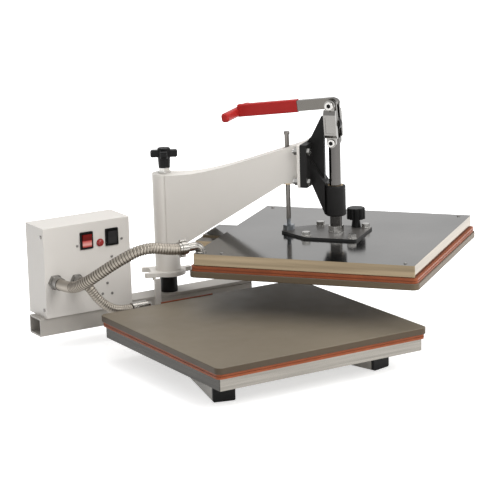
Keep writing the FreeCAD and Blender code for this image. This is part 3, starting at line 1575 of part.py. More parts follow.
def make_carriage():
    reach = S.platen_reach
    shaft = rod("shaft_main", S.shaft_radius, (PLATE_TOP + S.nut_high, CLEVIS_PIN + 8), (0, -reach))
    shaft = rounded("shaft_round", shaft, 1.5, lies_at(Z_AXIS, CLEVIS_PIN + 8))
    thread = rod("shaft_thread", S.thread_radius, (UPPER_TOP, PLATE_TOP + S.nut_high + 1), (0, -reach))
    hole = rod("shaft_eye", S.pin_radius + 0.3, (-20, 20), (-reach, CLEVIS_PIN), "x")
    arm_node("plunger_shaft", cut("plunger_shaft", fuse("shaft_shape", [shaft, thread]), [hole]))

    nut = hexagon("nut_blank", S.nut_across, (PLATE_TOP + 1, PLATE_TOP + S.nut_high), (0, -reach))
    washer_span = (PLATE_TOP, PLATE_TOP + S.nut_washer_thick)
    washer = rod("nut_washer", S.nut_washer_radius, washer_span, (0, -reach))
    bore_span = (PLATE_TOP - 1, PLATE_TOP + S.nut_high + 1)
    bore = rod("nut_bore", S.thread_radius + S.seated, bore_span, (0, -reach))
    arm_node("plunger_nut", cut("plunger_nut", fuse("nut_and_washer", [nut, washer]), [bore]))

    nose = S.plate_nose
    outline = [
        (-S.plate_half, -reach - S.plate_ahead),
        (S.plate_half, -reach - S.plate_ahead),
        (S.plate_half, -reach + S.plate_behind),
        (S.plate_nose_half, -reach + nose),
        (-S.plate_nose_half, -reach + nose),
        (-S.plate_half, -reach + S.plate_behind),
    ]
    blank = plate("plate_blank", "xy", outline, (UPPER_TOP, PLATE_TOP))
    blank = rounded("plate_round", blank, 6.0, runs_along(Z_AXIS))
    half = S.plate_bolt_pitch / 2
    places = [(a * half, -reach + b * half) for a in (-1, 1) for b in (-1, 1)]
    through = (UPPER_TOP - 1, PLATE_TOP + 1)
    holes = [rod(f"plate_hole_{i}", 4.3, through, place) for i, place in enumerate(places)]
    rod_place = (0, -reach + S.rod_behind)
    knob_place = (S.knob_across, -reach - S.knob_ahead)
    holes.append(rod("plate_thread", S.thread_radius + S.seated, through, (0, -reach)))
    holes.append(rod("plate_rod", S.rod_thread_radius + S.seated, through, rod_place))
    holes.append(rod("plate_knob", 4.3, through, knob_place))
    arm_node("mounting_plate", cut("mounting_plate", blank, holes))

    bolts = []
    for i, place in enumerate(places):
        washer_span = (PLATE_TOP, PLATE_TOP + S.plate_washer_thick)
        washer = rod(f"plate_washer_{i}", S.plate_washer_radius, washer_span, place)
        head_span = (PLATE_TOP + 1, PLATE_TOP + S.plate_bolt_high)
        head = hexagon(f"plate_head_{i}", S.plate_bolt_flats, head_span, place)
        shank = rod(f"plate_shank_{i}", 4.0, (UPPER_TOP + 0.1, PLATE_TOP + 1), place)
        bolts.append(fuse(f"plate_bolt_{i}", [head, washer, shank]))
    arm_node("plate_bolts", group("plate_bolts", bolts))

    thread_top = PLATE_TOP + S.rod_thread_long
    stem = rod("rod_stem", S.rod_radius, (thread_top, S.rod_top), rod_place)
    thread = rod("rod_thread", S.rod_thread_radius, (UPPER_TOP + 0.1, thread_top + 1), rod_place)
    cap = rod("rod_cap", S.rod_radius + 1.2, (S.rod_top - 5, S.rod_top), rod_place)
    cap = rounded("rod_cap_round", cap, 1.0, lies_at(Z_AXIS, S.rod_top))
    foot = hexagon("rod_nut", S.rod_nut_flats, (PLATE_TOP, PLATE_TOP + S.rod_nut_high), rod_place)
    arm_node("guide_rod", fuse("guide_rod", [stem, thread, cap, foot]))

    place = knob_place
    low = PLATE_TOP + S.knob_lift
    cap = rod("knob_cap", S.knob_radius, (low, low + S.knob_high), place)
    cap = rounded("knob_cap_round", cap, 2.5, lies_at(Z_AXIS, low + S.knob_high))
    flutes = []
    count = 10
    for i in range(count):
        turn = 2 * math.pi * i / count
        spot = (
            place[0] + (S.knob_radius + 2.2) * math.cos(turn),
            place[1] + (S.knob_radius + 2.2) * math.sin(turn),
        )
        flutes.append(rod(f"knob_flute_{i}", 3.6, (low - 1, low + S.knob_high + 1), spot))
    cap = cut("knob_fluted", cap, flutes)
    collar = cone("knob_collar", 8.5, 6.5, (PLATE_TOP + S.small_gap, low + 1), place)
    stud = rod("knob_stud", 4.0, (UPPER_TOP + 0.4, PLATE_TOP + 2), place)
    arm_node("adjust_knob", fuse("adjust_knob", [cap, collar, stud]))


def make_post_knob():
    """The clamp on top of the post: a fixed washer and nut, and the star knob over them."""
    seat = S.sleeve_top + S.small_gap
    stud_top = seat + 20
    base = seat + S.clamp_high
    washer = rod("clamp_washer", S.clamp_washer_radius, (seat, seat + S.clamp_washer_thick), (0, 0))
    nut = hexagon("clamp_nut", S.clamp_nut_flats, (seat + 2, base), (0, 0))
    stud = rod("clamp_rod", S.stud_radius, (S.post_top - S.stud_depth + 6, stud_top), (0, 0))
    node("clamp_stud", fuse("clamp_stud", [washer, nut, stud]))

    arm_low = base + S.star_stem
    arm_high = arm_low + S.star_arm_thick
    top = arm_high + S.star_dome
    stem = cone("knob_stem", S.star_stem_radius - 1, S.star_stem_radius, (base, arm_low + 1), (0, 0))
    half = S.star_arm_wide / 2
    arms = []
    for i in range(4):
        arm = block(f"knob_arm_{i}", (0, S.star_arm_long), (-half, half), (arm_low, arm_high))
        arm = rounded(f"knob_arm_round_{i}", arm, 3.5, lambda edge: edge.BoundBox.XMin > 1)
        turned_arm = group(f"knob_arm_turned_{i}", [arm])
        turned_arm.Placement = Placement(Vector(), Rotation(Z_AXIS, 90 * i + SIZES["star_turn"]))
        arms.append(turned_arm)
    hub = rod("knob_hub", S.star_stem_radius, (arm_low, top), (0, 0))
    hub = rounded("knob_hub_round", hub, 2.0, lies_at(Z_AXIS, top))
    bore = rod("knob_bore", S.stud_radius + S.seated, (base - 1, stud_top), (0, 0))
    node("clamp_knob", cut("clamp_knob", fuse("clamp_knob_shape", [stem, hub] + arms), [bore]))


# ---------------------------------------------------------------- build and write


def check_and_write():
    DOC.recompute()
    bad = [o.Name for o in DOC.Objects if {"Invalid", "Error"} & set(o.State)]
    if bad:
        raise RuntimeError(f"features that failed: {bad}")
    for name, thing in NODES.items():
        shape = thing.Shape
        if shape.isNull() or not shape.isValid() or not shape.Solids:
            raise RuntimeError(f"{name}: no valid solid")
    os.makedirs("parts", exist_ok=True)
    for name, thing in NODES.items():
        thing.Shape.exportStep(f"parts/{name}.step")
    print(f"{len(NODES)} nodes, stroke {float(STROKE):.2f}, upper platen {float(UPPER_LOW):.2f}")


make_base()
make_lower_unit()
make_upper_unit()
make_box()
make_conduits()
make_arm()
make_bracket()
make_handle()
make_links()
make_carriage()
make_post_knob()
check_and_write()
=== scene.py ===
import json
import math

import bpy
from mathutils import Matrix, Vector


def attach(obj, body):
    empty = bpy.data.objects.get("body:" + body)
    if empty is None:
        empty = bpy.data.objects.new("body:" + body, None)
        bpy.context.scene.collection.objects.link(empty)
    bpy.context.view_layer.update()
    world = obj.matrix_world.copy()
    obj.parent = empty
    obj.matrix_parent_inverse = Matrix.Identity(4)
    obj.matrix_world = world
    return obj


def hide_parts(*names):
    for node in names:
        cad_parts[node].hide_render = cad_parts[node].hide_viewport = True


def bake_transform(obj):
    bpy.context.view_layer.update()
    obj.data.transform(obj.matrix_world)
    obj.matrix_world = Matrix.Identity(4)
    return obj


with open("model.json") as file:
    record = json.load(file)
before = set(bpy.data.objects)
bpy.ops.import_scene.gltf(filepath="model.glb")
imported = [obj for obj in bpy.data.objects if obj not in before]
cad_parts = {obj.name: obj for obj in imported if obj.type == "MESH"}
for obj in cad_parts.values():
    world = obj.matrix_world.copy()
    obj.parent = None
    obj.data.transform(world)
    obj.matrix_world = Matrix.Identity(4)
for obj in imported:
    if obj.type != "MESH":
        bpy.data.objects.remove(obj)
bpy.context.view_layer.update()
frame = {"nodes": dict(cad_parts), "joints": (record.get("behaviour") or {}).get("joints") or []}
nodes = frame["nodes"]
scene = bpy.context.scene
MM = 0.001

# ---------------------------------------------------------------- shader nodes

WHITE = (1.0, 1.0, 1.0)
BLACK = (0.0, 0.0, 0.0)
# Where one colour turns into another: by the Z of the normal, by its X, and by noise.
SLOPE_EDGES = (0.25, 0.75)
SIDE_EDGES = (0.35, 0.85)
MOTTLE_EDGES = (0.3, 0.7)


def principled(name, colour, rough, metal=0.0):
    material = bpy.data.materials.new(name)
    material.use_nodes = True
    tree = material.node_tree
    shader = tree.nodes["Principled BSDF"]
    shader.inputs["Base Color"].default_value = (*colour, 1.0)
    shader.inputs["Roughness"].default_value = rough
    shader.inputs["Metallic"].default_value = metal
    return material, tree, shader


def maths(tree, operation, *values, kind="ShaderNodeMath", result="Value"):
    """What a Math node makes of its values, each a number or another node's output."""
    node = tree.nodes.new(kind)
    node.operation = operation
    for socket, value in zip(node.inputs, values):
        if isinstance(value, bpy.types.NodeSocket):
            tree.links.new(value, socket)
        else:
            socket.default_value = value
    return node.outputs[result]


def coordinate(tree, space, axis):
    """The X, Y or Z part of a texture coordinate."""
    where = tree.nodes.new("ShaderNodeTexCoord")
    split = tree.nodes.new("ShaderNodeSeparateXYZ")
    tree.links.new(where.outputs[space], split.inputs["Vector"])
    return split.outputs[axis]


def noise(tree, scale, detail, stretch):
    """Noise in the object's own coordinates, so that it stays on the surface."""
    where = tree.nodes.new("ShaderNodeTexCoord")
    mapping = tree.nodes.new("ShaderNodeMapping")
    mapping.inputs["Scale"].default_value = stretch
    texture = tree.nodes.new("ShaderNodeTexNoise")
    texture.inputs["Scale"].default_value = scale
    texture.inputs["Detail"].default_value = detail
    tree.links.new(where.outputs["Object"], mapping.inputs["Vector"])
    tree.links.new(mapping.outputs["Vector"], texture.inputs["Vector"])
    return texture.outputs["Fac"]


def ramp(tree, source, stops):
    """The colour for the value of source: stops are (place, colour)."""
    node = tree.nodes.new("ShaderNodeValToRGB")
    elements = node.color_ramp.elements
    for end in (0, -1):
        place, colour = stops[end]
        elements[end].position = place
        elements[end].color = (*colour, 1.0)
    for place, colour in stops[1:-1]:
        elements.new(place).color = (*colour, 1.0)
    tree.links.new(source, node.inputs["Fac"])
    return node.outputs["Color"]


def bump(tree, shader, height, strength, distance):
    node = tree.nodes.new("ShaderNodeBump")
    node.inputs["Strength"].default_value = strength
    node.inputs["Distance"].default_value = distance
    tree.links.new(height, node.inputs["Height"])
    tree.links.new(node.outputs["Normal"], shader.inputs["Normal"])


def scaled(colour, share):
    return [c * share for c in colour]


def between(tree, source, edges, first, second):
    """The first colour below both edges of source, the second above both, a blend between."""
    return ramp(tree, source, [(edges[0], first), (edges[1], second)])


def painted_light_by_slope(tree, flat, upright):
    """Painted shade and painted reflection: one colour on faces that look up, another on all other
    faces.
    """
    return between(tree, coordinate(tree, "Normal", "Z"), SLOPE_EDGES, upright, flat)


def painted_shade_by_side(tree, colour, share):
    """Painted shade: a colour that falls to a share of itself on the faces that look along X."""
    facing = maths(tree, "ABSOLUTE", coordinate(tree, "Normal", "X"))
    return between(tree, facing, SIDE_EDGES, colour, scaled(colour, share))


def by_height(tree, stops):
    """Colours by the share of the object's own height, or in the world by how high a ray points."""
    return ramp(tree, coordinate(tree, "Generated", "Z"), stops)


# ---------------------------------------------------------------- materials

MOTTLE_DETAIL = 4.0
FINE_DETAIL = 2.0


def surface(name, colour, rough, metal=0.0, **look):
    """A finish, plain or varied by what look holds.

    mottle is noise in the colour, and gloss is noise in the roughness: (scale, low, high).
    grain is noise in the height: (scale, strength, distance).
    stretch is the scale of all three along X, Y and Z.
    upright is the colour of the faces that don't look up, as painted shade and painted reflection.
    sideways is the share of the colour that faces along X keep, as painted shade.
    sockets are other values of the shader.
    """
    material, tree, shader = principled(name, colour, rough, metal)
    stretch = look.get("stretch", (1.0, 1.0, 1.0))
    tint = None
    if "upright" in look:
        tint = painted_light_by_slope(tree, colour, look["upright"])
    if "sideways" in look:
        tint = painted_shade_by_side(tree, colour, look["sideways"])
    if "mottle" in look:
        scale, low, high = look["mottle"]
        base = WHITE if tint else colour
        texture = noise(tree, scale, MOTTLE_DETAIL, stretch)
        spots = between(tree, texture, MOTTLE_EDGES, scaled(base, low), scaled(base, high))
        if tint:
            spots = maths(tree, "MULTIPLY", tint, spots, kind="ShaderNodeVectorMath", result="Vector")
        tint = spots
    if tint:
        tree.links.new(tint, shader.inputs["Base Color"])
    if "gloss" in look:
        scale, low, high = look["gloss"]
        spread = tree.nodes.new("ShaderNodeMapRange")
        spread.inputs["To Min"].default_value = low
        spread.inputs["To Max"].default_value = high
        tree.links.new(noise(tree, scale, FINE_DETAIL, stretch), spread.inputs["Value"])
        tree.links.new(spread.outputs["Result"], shader.inputs["Roughness"])
    if "grain" in look:
        scale, strength, distance = look["grain"]
        bump(tree, shader, noise(tree, scale, FINE_DETAIL, stretch), strength, distance)
    for socket, value in look.get("sockets", {}).items():
        shader.inputs[socket].default_value = value
    return material


def make_rocker_red():
    """A red lens with painted shade on its upper half and lower edge, and the pale window of its lamp
    below.
    """
    material, tree, shader = principled("rocker_red", (0.3, 0.02, 0.02), 0.16)
    # The dark stops at both ends are painted shade on the lens.
    stops = [
        (0.0, (0.30, 0.012, 0.012)),
        (0.10, (0.62, 0.16, 0.14)),
        (0.20, (0.80, 0.42, 0.38)),
        (0.46, (0.62, 0.10, 0.09)),
        (0.54, (0.13, 0.006, 0.006)),
        (1.0, (0.20, 0.008, 0.008)),
    ]
    tree.links.new(by_height(tree, stops), shader.inputs["Base Color"])
    return material


def make_rod_steel():
    """A dark rod whose foot has a bright thread. Its sizes are shares of the rod's height."""
    thread_end = (0.125, 0.135)
    turns_in_height = 140
    material, tree, shader = principled("rod_steel", (0.2, 0.2, 0.2), 0.32, 1.0)
    height = coordinate(tree, "Generated", "Z")
    tint = between(tree, height, thread_end, (0.30, 0.32, 0.34), (0.16, 0.15, 0.14))
    tree.links.new(tint, shader.inputs["Base Color"])
    wave = maths(tree, "SINE", maths(tree, "MULTIPLY", height, 2 * math.pi * turns_in_height))
    threaded = between(tree, height, thread_end, WHITE, BLACK)
    thread = maths(tree, "MULTIPLY", wave, threaded)
    bump(tree, shader, thread, strength=0.8, distance=0.0004)
    return material


DULL = {"Specular IOR Level": 0.15}
SOFT = {"Specular IOR Level": 0.25}
PAINT_GRAIN = (900, 0.05, 0.0003)
FORGED_GRAIN = (60, 0.10, 0.0006)

PAINT = surface("paint_box", (0.66, 0.63, 0.59), 0.40, grain=PAINT_GRAIN, mottle=(9, 0.985, 1.01))
# The arm has the box's paint made lighter: painted light.
ARM_PAINT_LIT = surface("paint_arm_lit", (0.76, 0.725, 0.675), 0.40, grain=PAINT_GRAIN, mottle=(9, 0.98, 1.01))
# The cross tube and gusset have the frame's pale paint made darker: painted shade.
TUBE_PAINT_SHADED = surface(
    "paint_tube_shaded", (0.41, 0.385, 0.35), 0.42, grain=PAINT_GRAIN, mottle=(12, 0.96, 1.02)
)
# The legs' light grey paint is made darker under the lower unit: painted shade.
LEG_PAINT_SHADED = surface("paint_leg_shaded", (0.45, 0.43, 0.40), 0.45, grain=PAINT_GRAIN)
BLACK_CAST = surface(
    "black_cast",
    (0.012, 0.0115, 0.011),
    0.44,
    grain=(420, 0.18, 0.0005),
    gloss=(60, 0.38, 0.54),
    sockets=DULL,
)
BLACK_STEEL = surface("black_steel", (0.010, 0.0095, 0.009), 0.32, gloss=(90, 0.26, 0.42), sockets=DULL)
BLACK_PLASTIC = surface(
    "black_plastic", (0.006, 0.006, 0.006), 0.36, grain=(1200, 0.05, 0.0003), sockets=DULL
)
DARK_LENS = surface("dark_lens", (0.028, 0.028, 0.030), 0.22)
# A near-black material for the painted shade inside screw sockets.
SOCKET_SHADE = surface("socket_shade", (0.006, 0.006, 0.006), 0.6, sockets=DULL)
# The mounting plate's faces that don't look up are near black: painted shade.
DARK_PLATE = surface(
    "dark_plate",
    (0.075, 0.070, 0.065),
    0.34,
    gloss=(70, 0.28, 0.44),
    upright=(0.008, 0.008, 0.008),
)
# The lower platen's faces that don't look up are a darker brown: painted shade.
COATING = surface(
    "platen_coating",
    (0.170, 0.142, 0.102),
    0.44,
    gloss=(30, 0.38, 0.52),
    grain=(700, 0.05, 0.0003),
    upright=(0.072, 0.050, 0.030),
    mottle=(3, 0.86, 1.05),
    sockets=SOFT,
)
# The upper platen's faces that don't look up are a little darker and warmer: painted shade.
UPPER_COATING = surface(
    "upper_coating", (0.120, 0.100, 0.078), 0.42, upright=(0.120, 0.090, 0.058), sockets=DULL
)
SILICONE = surface("silicone", (0.27, 0.074, 0.030), 0.42, mottle=(40, 0.86, 1.08), sockets=DULL)
# The lower cover's faces that look along X are darkened: painted shade.
STAINLESS = surface(
    "stainless",
    (0.25, 0.235, 0.21),
    0.24,
    1.0,
    gloss=(5, 0.20, 0.30),
    mottle=(6, 0.80, 1.12),
    stretch=(1, 1, 40),
    sideways=0.19,
)
# The upper cover's faces that don't look up are a warmer brown: a painted reflection.
MIRROR = surface(
    "stainless_polished",
    (0.165, 0.16, 0.153),
    0.12,
    1.0,
    gloss=(6, 0.08, 0.16),
    mottle=(5, 0.78, 1.18),
    stretch=(1, 1, 30),
    upright=(0.185, 0.145, 0.095),
)
CHROME = surface("chrome", (0.088, 0.084, 0.080), 0.14, 1.0)
FORGED = surface(
    "forged_nickel", (0.14, 0.132, 0.12), 0.24, 1.0, grain=FORGED_GRAIN, gloss=(60, 0.19, 0.30)
)
# The links have the forged nickel made lighter: painted highlights.
LINK_STEEL_LIT = surface(
    "link_nickel_lit", (0.24, 0.232, 0.22), 0.20, 1.0, grain=FORGED_GRAIN, gloss=(60, 0.15, 0.26)
)
ZINC = surface("zinc", (0.26, 0.252, 0.24), 0.30, 1.0, gloss=(300, 0.24, 0.38))
BRIGHT_ZINC = surface("bright_zinc", (0.52, 0.51, 0.49), 0.22, 1.0, gloss=(200, 0.18, 0.30))
ELBOW = surface("elbow_zinc", (0.34, 0.325, 0.30), 0.20, 1.0, gloss=(120, 0.16, 0.28))
RIBBED = surface("galvanised_strip", (0.31, 0.28, 0.24), 0.42, 1.0, gloss=(200, 0.36, 0.50))
# A darker copy of the strip for the grooves between ribs: painted shade.
GROOVE_SHADE = surface("conduit_groove_shade", (0.120, 0.105, 0.086), 0.55, 1.0)
ROD = make_rod_steel()
RED_VINYL = surface("red_vinyl", (0.38, 0.020, 0.018), 0.40, grain=(500, 0.05, 0.0003), sockets=DULL)
RED_LENS = make_rocker_red()
RED_LAMP = surface("red_lamp", (0.30, 0.008, 0.008), 0.12, sockets={"Coat Weight": 0.6})
BRASS = surface("bush_brass", (0.52, 0.38, 0.18), 0.30, 1.0)
WOOL = surface("mineral_wool", (0.70, 0.68, 0.60), 0.95, grain=(300, 0.6, 0.001))
ELEMENT = surface("element_sheath", (0.12, 0.11, 0.10), 0.5, 1.0)
TERMINAL = surface("terminal_plastic", (0.62, 0.60, 0.52), 0.5)

FINISH = {
    PAINT: "stop_bar box_body box_front",
    ARM_PAINT_LIT: "arm_sleeve arm_beam index_flange arm_end_plate",
    TUBE_PAINT_SHADED: "cross_tube apex_gusset",
    LEG_PAINT_SHADED: "left_leg right_leg",
    BLACK_CAST: "toggle_bracket",
    BLACK_STEEL: "pivot_post",
    DARK_PLATE: "mounting_plate",
    BLACK_PLASTIC: "leg_end_caps rocker_frames inlet_gland clamp_knob adjust_knob",
    DARK_LENS: "heat_rocker",
    COATING: "lower_platen",
    UPPER_COATING: "upper_platen",
    SILICONE: "lower_gasket upper_gasket gasket_lip",
    STAINLESS: "lower_cover",
    MIRROR: "upper_cover",
    CHROME: "plunger_shaft",
    FORGED: "handle_bar",
    LINK_STEEL_LIT: "front_link back_link",
    ZINC: "lower_cover_screws upper_cover_screws box_screws conduit_glands frame_pin platen_standoffs",
    BRIGHT_ZINC: "plate_bolts bracket_bolts clamp_stud handle_pin link_screws plunger_nut",
    ELBOW: "upper_elbow lower_elbow",
    RIBBED: "upper_conduit lower_conduit",
    ROD: "guide_rod",
    RED_VINYL: "handle_grip",
    RED_LENS: "power_rocker",
    RED_LAMP: "pilot_lamp",
    BRASS: "sleeve_bushes thrust_washer barrel_bush guide_bush",
    WOOL: "lower_insulation upper_insulation",
    ELEMENT: "lower_heater upper_heater",
    TERMINAL: "terminal_block",
}
for material, names in FINISH.items():
    for name in names.split():
        mesh = nodes[name].data
        mesh.materials.clear()
        mesh.materials.append(material)

# ---------------------------------------------------------------- pieces


def piece(name, vertices, faces, material, body, smooth=False):
    """A new mesh, put on its body when one is given."""
    mesh = bpy.data.meshes.new(name)
    mesh.from_pydata([tuple(v) for v in vertices], [], faces)
    mesh.validate()
    mesh.update()
    mesh.materials.append(material)
    obj = bpy.data.objects.new(name, mesh)
    scene.collection.objects.link(obj)
    if smooth:
        mesh.polygons.foreach_set("use_smooth", [True] * len(mesh.polygons))
    if body:
        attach(obj, body)
    return obj


# ---------------------------------------------------------------- conduits

# The control points of both routes, in millimetres, from the gland on the box to the elbow.
UPPER_ROUTE = (
    (-241.5, -50.6, 125.3),
    (-241.5, -93.1, 125.3),
    (-239.5, -152.0, 150.0),
    (-201.0, -191.6, 187.7),
    (-160.4, -217.0, 212.1),
    (-108.3, -219.9, 200.3),
    (-98.9, -219.9, 200.3),
)
LOWER_ROUTE = (
    (-200.3, -50.6, 122.3),
    (-200.3, -73.1, 122.3),
    (-191.3, -85.0, 102.0),
    (-173.8, -90.3, 82.8),
    (-150.5, -92.1, 72.0),
    (-126.1, -92.1, 72.0),
)
UPPER_RADIUS = 10.0 * MM
UPPER_RIB = 5.2 * MM
LOWER_RADIUS = 8.5 * MM
LOWER_RIB = 4.0 * MM
# The upper conduit's ribs are pressed almost flat over this length from its gland on.
PRESSED_LENGTH = 54 * MM
# The share of their depth that pressed ribs keep.
PRESSED_DEPTH = 0.15
# The share of the pressed length after which the ribs rise to their full depth.
PRESSED_FLAT = 0.7
# Ribs deeper than this share of their full depth have painted shade in their groove.
GROOVE_DEPTH = 0.5
# The share of the upper conduit that is its rear piece.
REAR_SHARE = 0.55
ROUTE_STEP = 1.0 * MM
SPLINE_STEPS = 40
TUBE_SIDES = 28
# One rib from its groove on, as shares of the tube's radius.
RIB_PROFILE = (0.83, 0.965, 1.0, 0.965)


def route_line(name, points):
    """Points on the NURBS spline whose control points are a conduit's route."""
    curve = bpy.data.curves.new(name, "CURVE")
    curve.dimensions = "3D"
    curve.resolution_u = SPLINE_STEPS
    spline = curve.splines.new("NURBS")
    spline.points.add(len(points) - 1)
    for point, place in zip(spline.points, points):
        point.co = (*[c * MM for c in place], 1.0)
    spline.order_u = 3
    spline.use_endpoint_u = True
    holder = bpy.data.objects.new(name, curve)
    line = [v.co.copy() for v in bpy.data.meshes.new_from_object(holder).vertices]
    bpy.data.objects.remove(holder)
    return line


def evenly(line, step):
    """Points about a step apart on a line, with both of its ends."""
    lengths = [0.0]
    for a, b in zip(line, line[1:]):
        lengths.append(lengths[-1] + (b - a).length)
    count = max(2, round(lengths[-1] / step))
    made = []
    k = 0
    for i in range(count + 1):
        want = lengths[-1] * i / count
        while k < len(line) - 2 and lengths[k + 1] < want:
            k += 1
        run = lengths[k + 1] - lengths[k]
        share = (want - lengths[k]) / run if run else 0.0
        made.append(line[k].lerp(line[k + 1], min(1.0, share)))
    return made


def rib_depth(along, plain):
    """The share of the ribs' full depth at a distance from the tube's near end."""
    if not plain:
        return 1.0
    risen = (along / plain - PRESSED_FLAT) / (1.0 - PRESSED_FLAT)
    return PRESSED_DEPTH + (1.0 - PRESSED_DEPTH) * min(1.0, max(0.0, risen))


def ribbed_tube(name, line, radius, rib, plain=0.0):
    """A conduit along a line, with rounded rings for its ribs and painted shade in the groove between
    them.

    plain is the length from its near end on in which the ribs are pressed almost flat.
    """
    steps = len(RIB_PROFILE)
    path = evenly(line, rib / steps)
    depths = [rib_depth(i * rib / steps, plain) for i in range(len(path))]
    last = len(path) - 1
    tangents = [(path[min(i + 1, last)] - path[max(i - 1, 0)]).normalized() for i in range(last + 1)]
    across = tangents[0].orthogonal().normalized()
    vertices = []
    for i, (place, way) in enumerate(zip(path, tangents)):
        across = (across - way * across.dot(way)).normalized()
        other = way.cross(across)
        size = radius * (1.0 - (1.0 - RIB_PROFILE[i % steps]) * depths[i])
        for k in range(TUBE_SIDES):
            turn = 2 * math.pi * k / TUBE_SIDES
            vertices.append(place + (across * math.cos(turn) + other * math.sin(turn)) * size)
    faces = []
    for ring in range(0, last * TUBE_SIDES, TUBE_SIDES):
        for k in range(TUBE_SIDES):
            a = ring + k
            b = ring + (k + 1) % TUBE_SIDES
            faces.append((a, b, b + TUBE_SIDES, a + TUBE_SIDES))
    far_end = range(last * TUBE_SIDES, len(vertices))
    faces += [tuple(reversed(range(TUBE_SIDES))), tuple(far_end)]
    obj = piece(name, vertices, faces, RIBBED, None, smooth=True)
    obj.data.materials.append(GROOVE_SHADE)
    for i in range(steps - 1, last, steps):
        if depths[i] > GROOVE_DEPTH:
            for k in range(TUBE_SIDES):
                obj.data.polygons[i * TUBE_SIDES + k].material_index = 1
    return obj, path


def make_upper_conduit():
    """Its rear piece runs from base to arm, and its front piece from arm to platen carriage."""
    whole = evenly(route_line("upper_route", UPPER_ROUTE), ROUTE_STEP)
    split = round(len(whole) * REAR_SHARE)
    rear, rear_path = ribbed_tube(
        "conduit_rear", whole[: split + 1], UPPER_RADIUS, UPPER_RIB, plain=PRESSED_LENGTH
    )
    front, front_path = ribbed_tube("conduit_front", whole[split:], UPPER_RADIUS, UPPER_RIB)
    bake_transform(rear)
    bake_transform(front)
    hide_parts("upper_conduit")


def make_lower_conduit():
    """Both of its ends are held on the base."""
    line = route_line("lower_route", LOWER_ROUTE)
    lower, lower_path = ribbed_tube("conduit_lower", line, LOWER_RADIUS, LOWER_RIB)
    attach(lower, "base")
    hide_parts("lower_conduit")


make_upper_conduit()
make_lower_conduit()

# ---------------------------------------------------------------- screw sockets

SOCKET_RADIUS = 3.9 * MM
# How far under the screw's face the painted shade starts and ends.
SOCKET_DEPTHS = (0.5 * MM, 2.8 * MM)
FACE_TOLERANCE = 0.1 * MM
UP = Vector((0.0, 0.0, 1.0))


def arm_turn():
    """The angle at rest from where the arm is over the lower platen."""
    swing = next(joint for joint in frame["joints"] if joint["name"] == "arm_swing")
    return math.radians(-swing["range_deg"][0])


def socket_shadow(name, node, body):
    """A dark prism as painted shade inside the hexagon socket in a node's screw head, on the arm's left
    side.
    """
    across = Vector((math.cos(arm_turn()), math.sin(arm_turn()), 0.0))
    along = UP.cross(across)
    points = [nodes[node].matrix_world @ v.co for v in nodes[node].data.vertices]
    outer = min(p.dot(across) for p in points)
    face = [p for p in points if p.dot(across) < outer + FACE_TOLERANCE]
    middle = []
    for axis in (along, UP):
        span = [p.dot(axis) for p in face]
        middle.append((min(span) + max(span)) / 2)
    rings = []
    for depth in SOCKET_DEPTHS:
        for k in range(6):
            turn = math.radians(60 * k + 30)
            place = across * (outer + depth) + along * (middle[0] + SOCKET_RADIUS * math.cos(turn))
            rings.append(place + UP * (middle[1] + SOCKET_RADIUS * math.sin(turn)))
    faces = [(k, (k + 1) % 6, (k + 1) % 6 + 6, k + 6) for k in range(6)]
    faces += [tuple(reversed(range(6))), tuple(range(6, 12))]
    piece(name, rings, faces, SOCKET_SHADE, body)


socket_shadow("pin_socket_shade", "handle_pin", "handle")
socket_shadow("link_socket_shade", "link_screws", "links")

# ---------------------------------------------------------------- stage

FLOOR_REACH = 12.0
# The floor lies this far under the press, so that their faces don't coincide.
FLOOR_DROP = 0.5 * MM
# The floor glows least here, under the press, and more with the distance.
GLOW_MIDDLE = (0.02, -0.25, 0.0)
FLOOR_GLOW = ((0.0, 0.50), (0.40, 0.66), (0.95, 1.0))
# The soft light's colour by how high its ray points.
WORLD_LIGHT = (
    (0.0, (0.80, 0.80, 0.80)),
    (0.12, (0.50, 0.50, 0.49)),
    (0.40, (0.42, 0.42, 0.42)),
    (0.8, WHITE),
)
WORLD_STRENGTH = 0.75
BACKDROP_GREYS = ((0.0, 1.0), (0.15, 0.97), (0.5, 0.62), (0.9, 0.9))


def grey_stops(greys):
    return [(place, [grey] * 3) for place, grey in greys]


def where_seen(tree, light, seen):
    """One shader for the light on things, another for what camera, metal and glass show."""
    rays = tree.nodes.new("ShaderNodeLightPath").outputs
    sees = rays["Is Camera Ray"]
    for name in ("Is Glossy Ray", "Is Transmission Ray"):
        sees = maths(tree, "MAXIMUM", sees, rays[name])
    mix = tree.nodes.new("ShaderNodeMixShader")
    tree.links.new(sees, mix.inputs["Fac"])
    tree.links.new(light, mix.inputs[1])
    tree.links.new(seen, mix.inputs[2])
    return mix.outputs["Shader"]


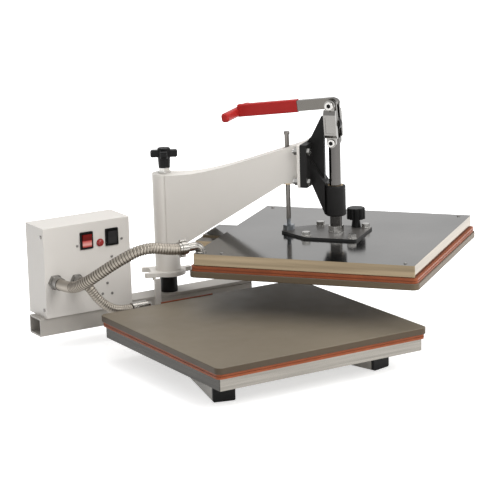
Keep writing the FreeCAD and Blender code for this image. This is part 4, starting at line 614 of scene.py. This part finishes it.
def make_floor():
    """A pale floor that is white away from the press and keeps its soft shadow beside it."""
    mesh = bpy.data.meshes.new("floor")
    corners = [(x * FLOOR_REACH, y * FLOOR_REACH, 0) for x, y in ((-1, -1), (1, -1), (1, 1), (-1, 1))]
    mesh.from_pydata(corners, [], [(0, 1, 2, 3)])
    floor = bpy.data.objects.new("floor", mesh)
    scene.collection.objects.link(floor)
    floor.location.z = -FLOOR_DROP
    material, tree, shader = principled("floor_pale", (0.84, 0.84, 0.84), 0.75)
    shader.inputs["Specular IOR Level"].default_value = 0.1
    where = tree.nodes.new("ShaderNodeTexCoord").outputs["Object"]
    distance = maths(tree, "DISTANCE", where, GLOW_MIDDLE, kind="ShaderNodeVectorMath")
    emission = tree.nodes.new("ShaderNodeEmission")
    tree.links.new(ramp(tree, distance, grey_stops(FLOOR_GLOW)), emission.inputs["Color"])
    both = tree.nodes.new("ShaderNodeAddShader")
    tree.links.new(shader.outputs["BSDF"], both.inputs[0])
    tree.links.new(emission.outputs["Emission"], both.inputs[1])
    seen = where_seen(tree, shader.outputs["BSDF"], both.outputs["Shader"])
    tree.links.new(seen, tree.nodes["Material Output"].inputs["Surface"])
    mesh.materials.append(material)


def background(tree, stops, strength):
    """A background shader whose colour goes by how high its ray points."""
    node = tree.nodes.new("ShaderNodeBackground")
    node.inputs["Strength"].default_value = strength
    tree.links.new(by_height(tree, stops), node.inputs["Color"])
    return node.outputs["Background"]


def make_world():
    """A graded soft light, and a pale backdrop where the world is seen."""
    world = bpy.data.worlds.new("studio")
    scene.world = world
    world.use_nodes = True
    tree = world.node_tree
    tree.nodes.clear()
    light = background(tree, WORLD_LIGHT, WORLD_STRENGTH)
    backdrop = background(tree, grey_stops(BACKDROP_GREYS), 1.0)
    out = tree.nodes.new("ShaderNodeOutputWorld")
    tree.links.new(where_seen(tree, light, backdrop), out.inputs["Surface"])


def area_light(name, place, target, size, power):
    data = bpy.data.lights.new(name, "AREA")
    data.shape = "RECTANGLE"
    data.size, data.size_y = size
    data.energy = power
    light = bpy.data.objects.new(name, data)
    light.location = place
    light.rotation_mode = "QUATERNION"
    light.rotation_quaternion = (Vector(target) - Vector(place)).to_track_quat("-Z", "Y")
    scene.collection.objects.link(light)


make_floor()
make_world()
PRESS_MIDDLE = (0.05, -0.25, 0.18)
area_light("key", (0.5, -2.7, 2.0), PRESS_MIDDLE, (1.8, 1.4), 56)
area_light("top", (0.5, 0.2, 2.6), PRESS_MIDDLE, (2.4, 2.0), 32)
area_light("side", (2.3, -1.2, 1.2), PRESS_MIDDLE, (1.4, 1.4), 12)

# ---------------------------------------------------------------- camera

IMAGE_SIZE = 500
FOCAL_PIXELS = 2121.0
SENSOR_WIDTH = 36.0


def make_camera():
    """Looks from the front left and a little from above, a little rolled."""
    place = Vector((-1787.2, -3303.3, 1039.2)) * MM
    target = Vector((-16.76, -321.8, 205.75)) * MM
    roll = math.radians(-1.695)
    ahead = (target - place).normalized()
    right = ahead.cross(UP).normalized()
    up = right.cross(ahead)
    side = right * math.cos(roll) + up * math.sin(roll)
    top = up * math.cos(roll) - right * math.sin(roll)
    data = bpy.data.cameras.new("camera")
    data.sensor_width = SENSOR_WIDTH
    data.lens = FOCAL_PIXELS / IMAGE_SIZE * SENSOR_WIDTH
    data.clip_start, data.clip_end = 0.1, 100
    camera = bpy.data.objects.new("camera", data)
    rotation = Matrix((side, top, -ahead)).transposed()
    camera.matrix_world = Matrix.Translation(place) @ rotation.to_4x4()
    scene.collection.objects.link(camera)
    scene.camera = camera


make_camera()
scene.view_settings.view_transform = "Standard"
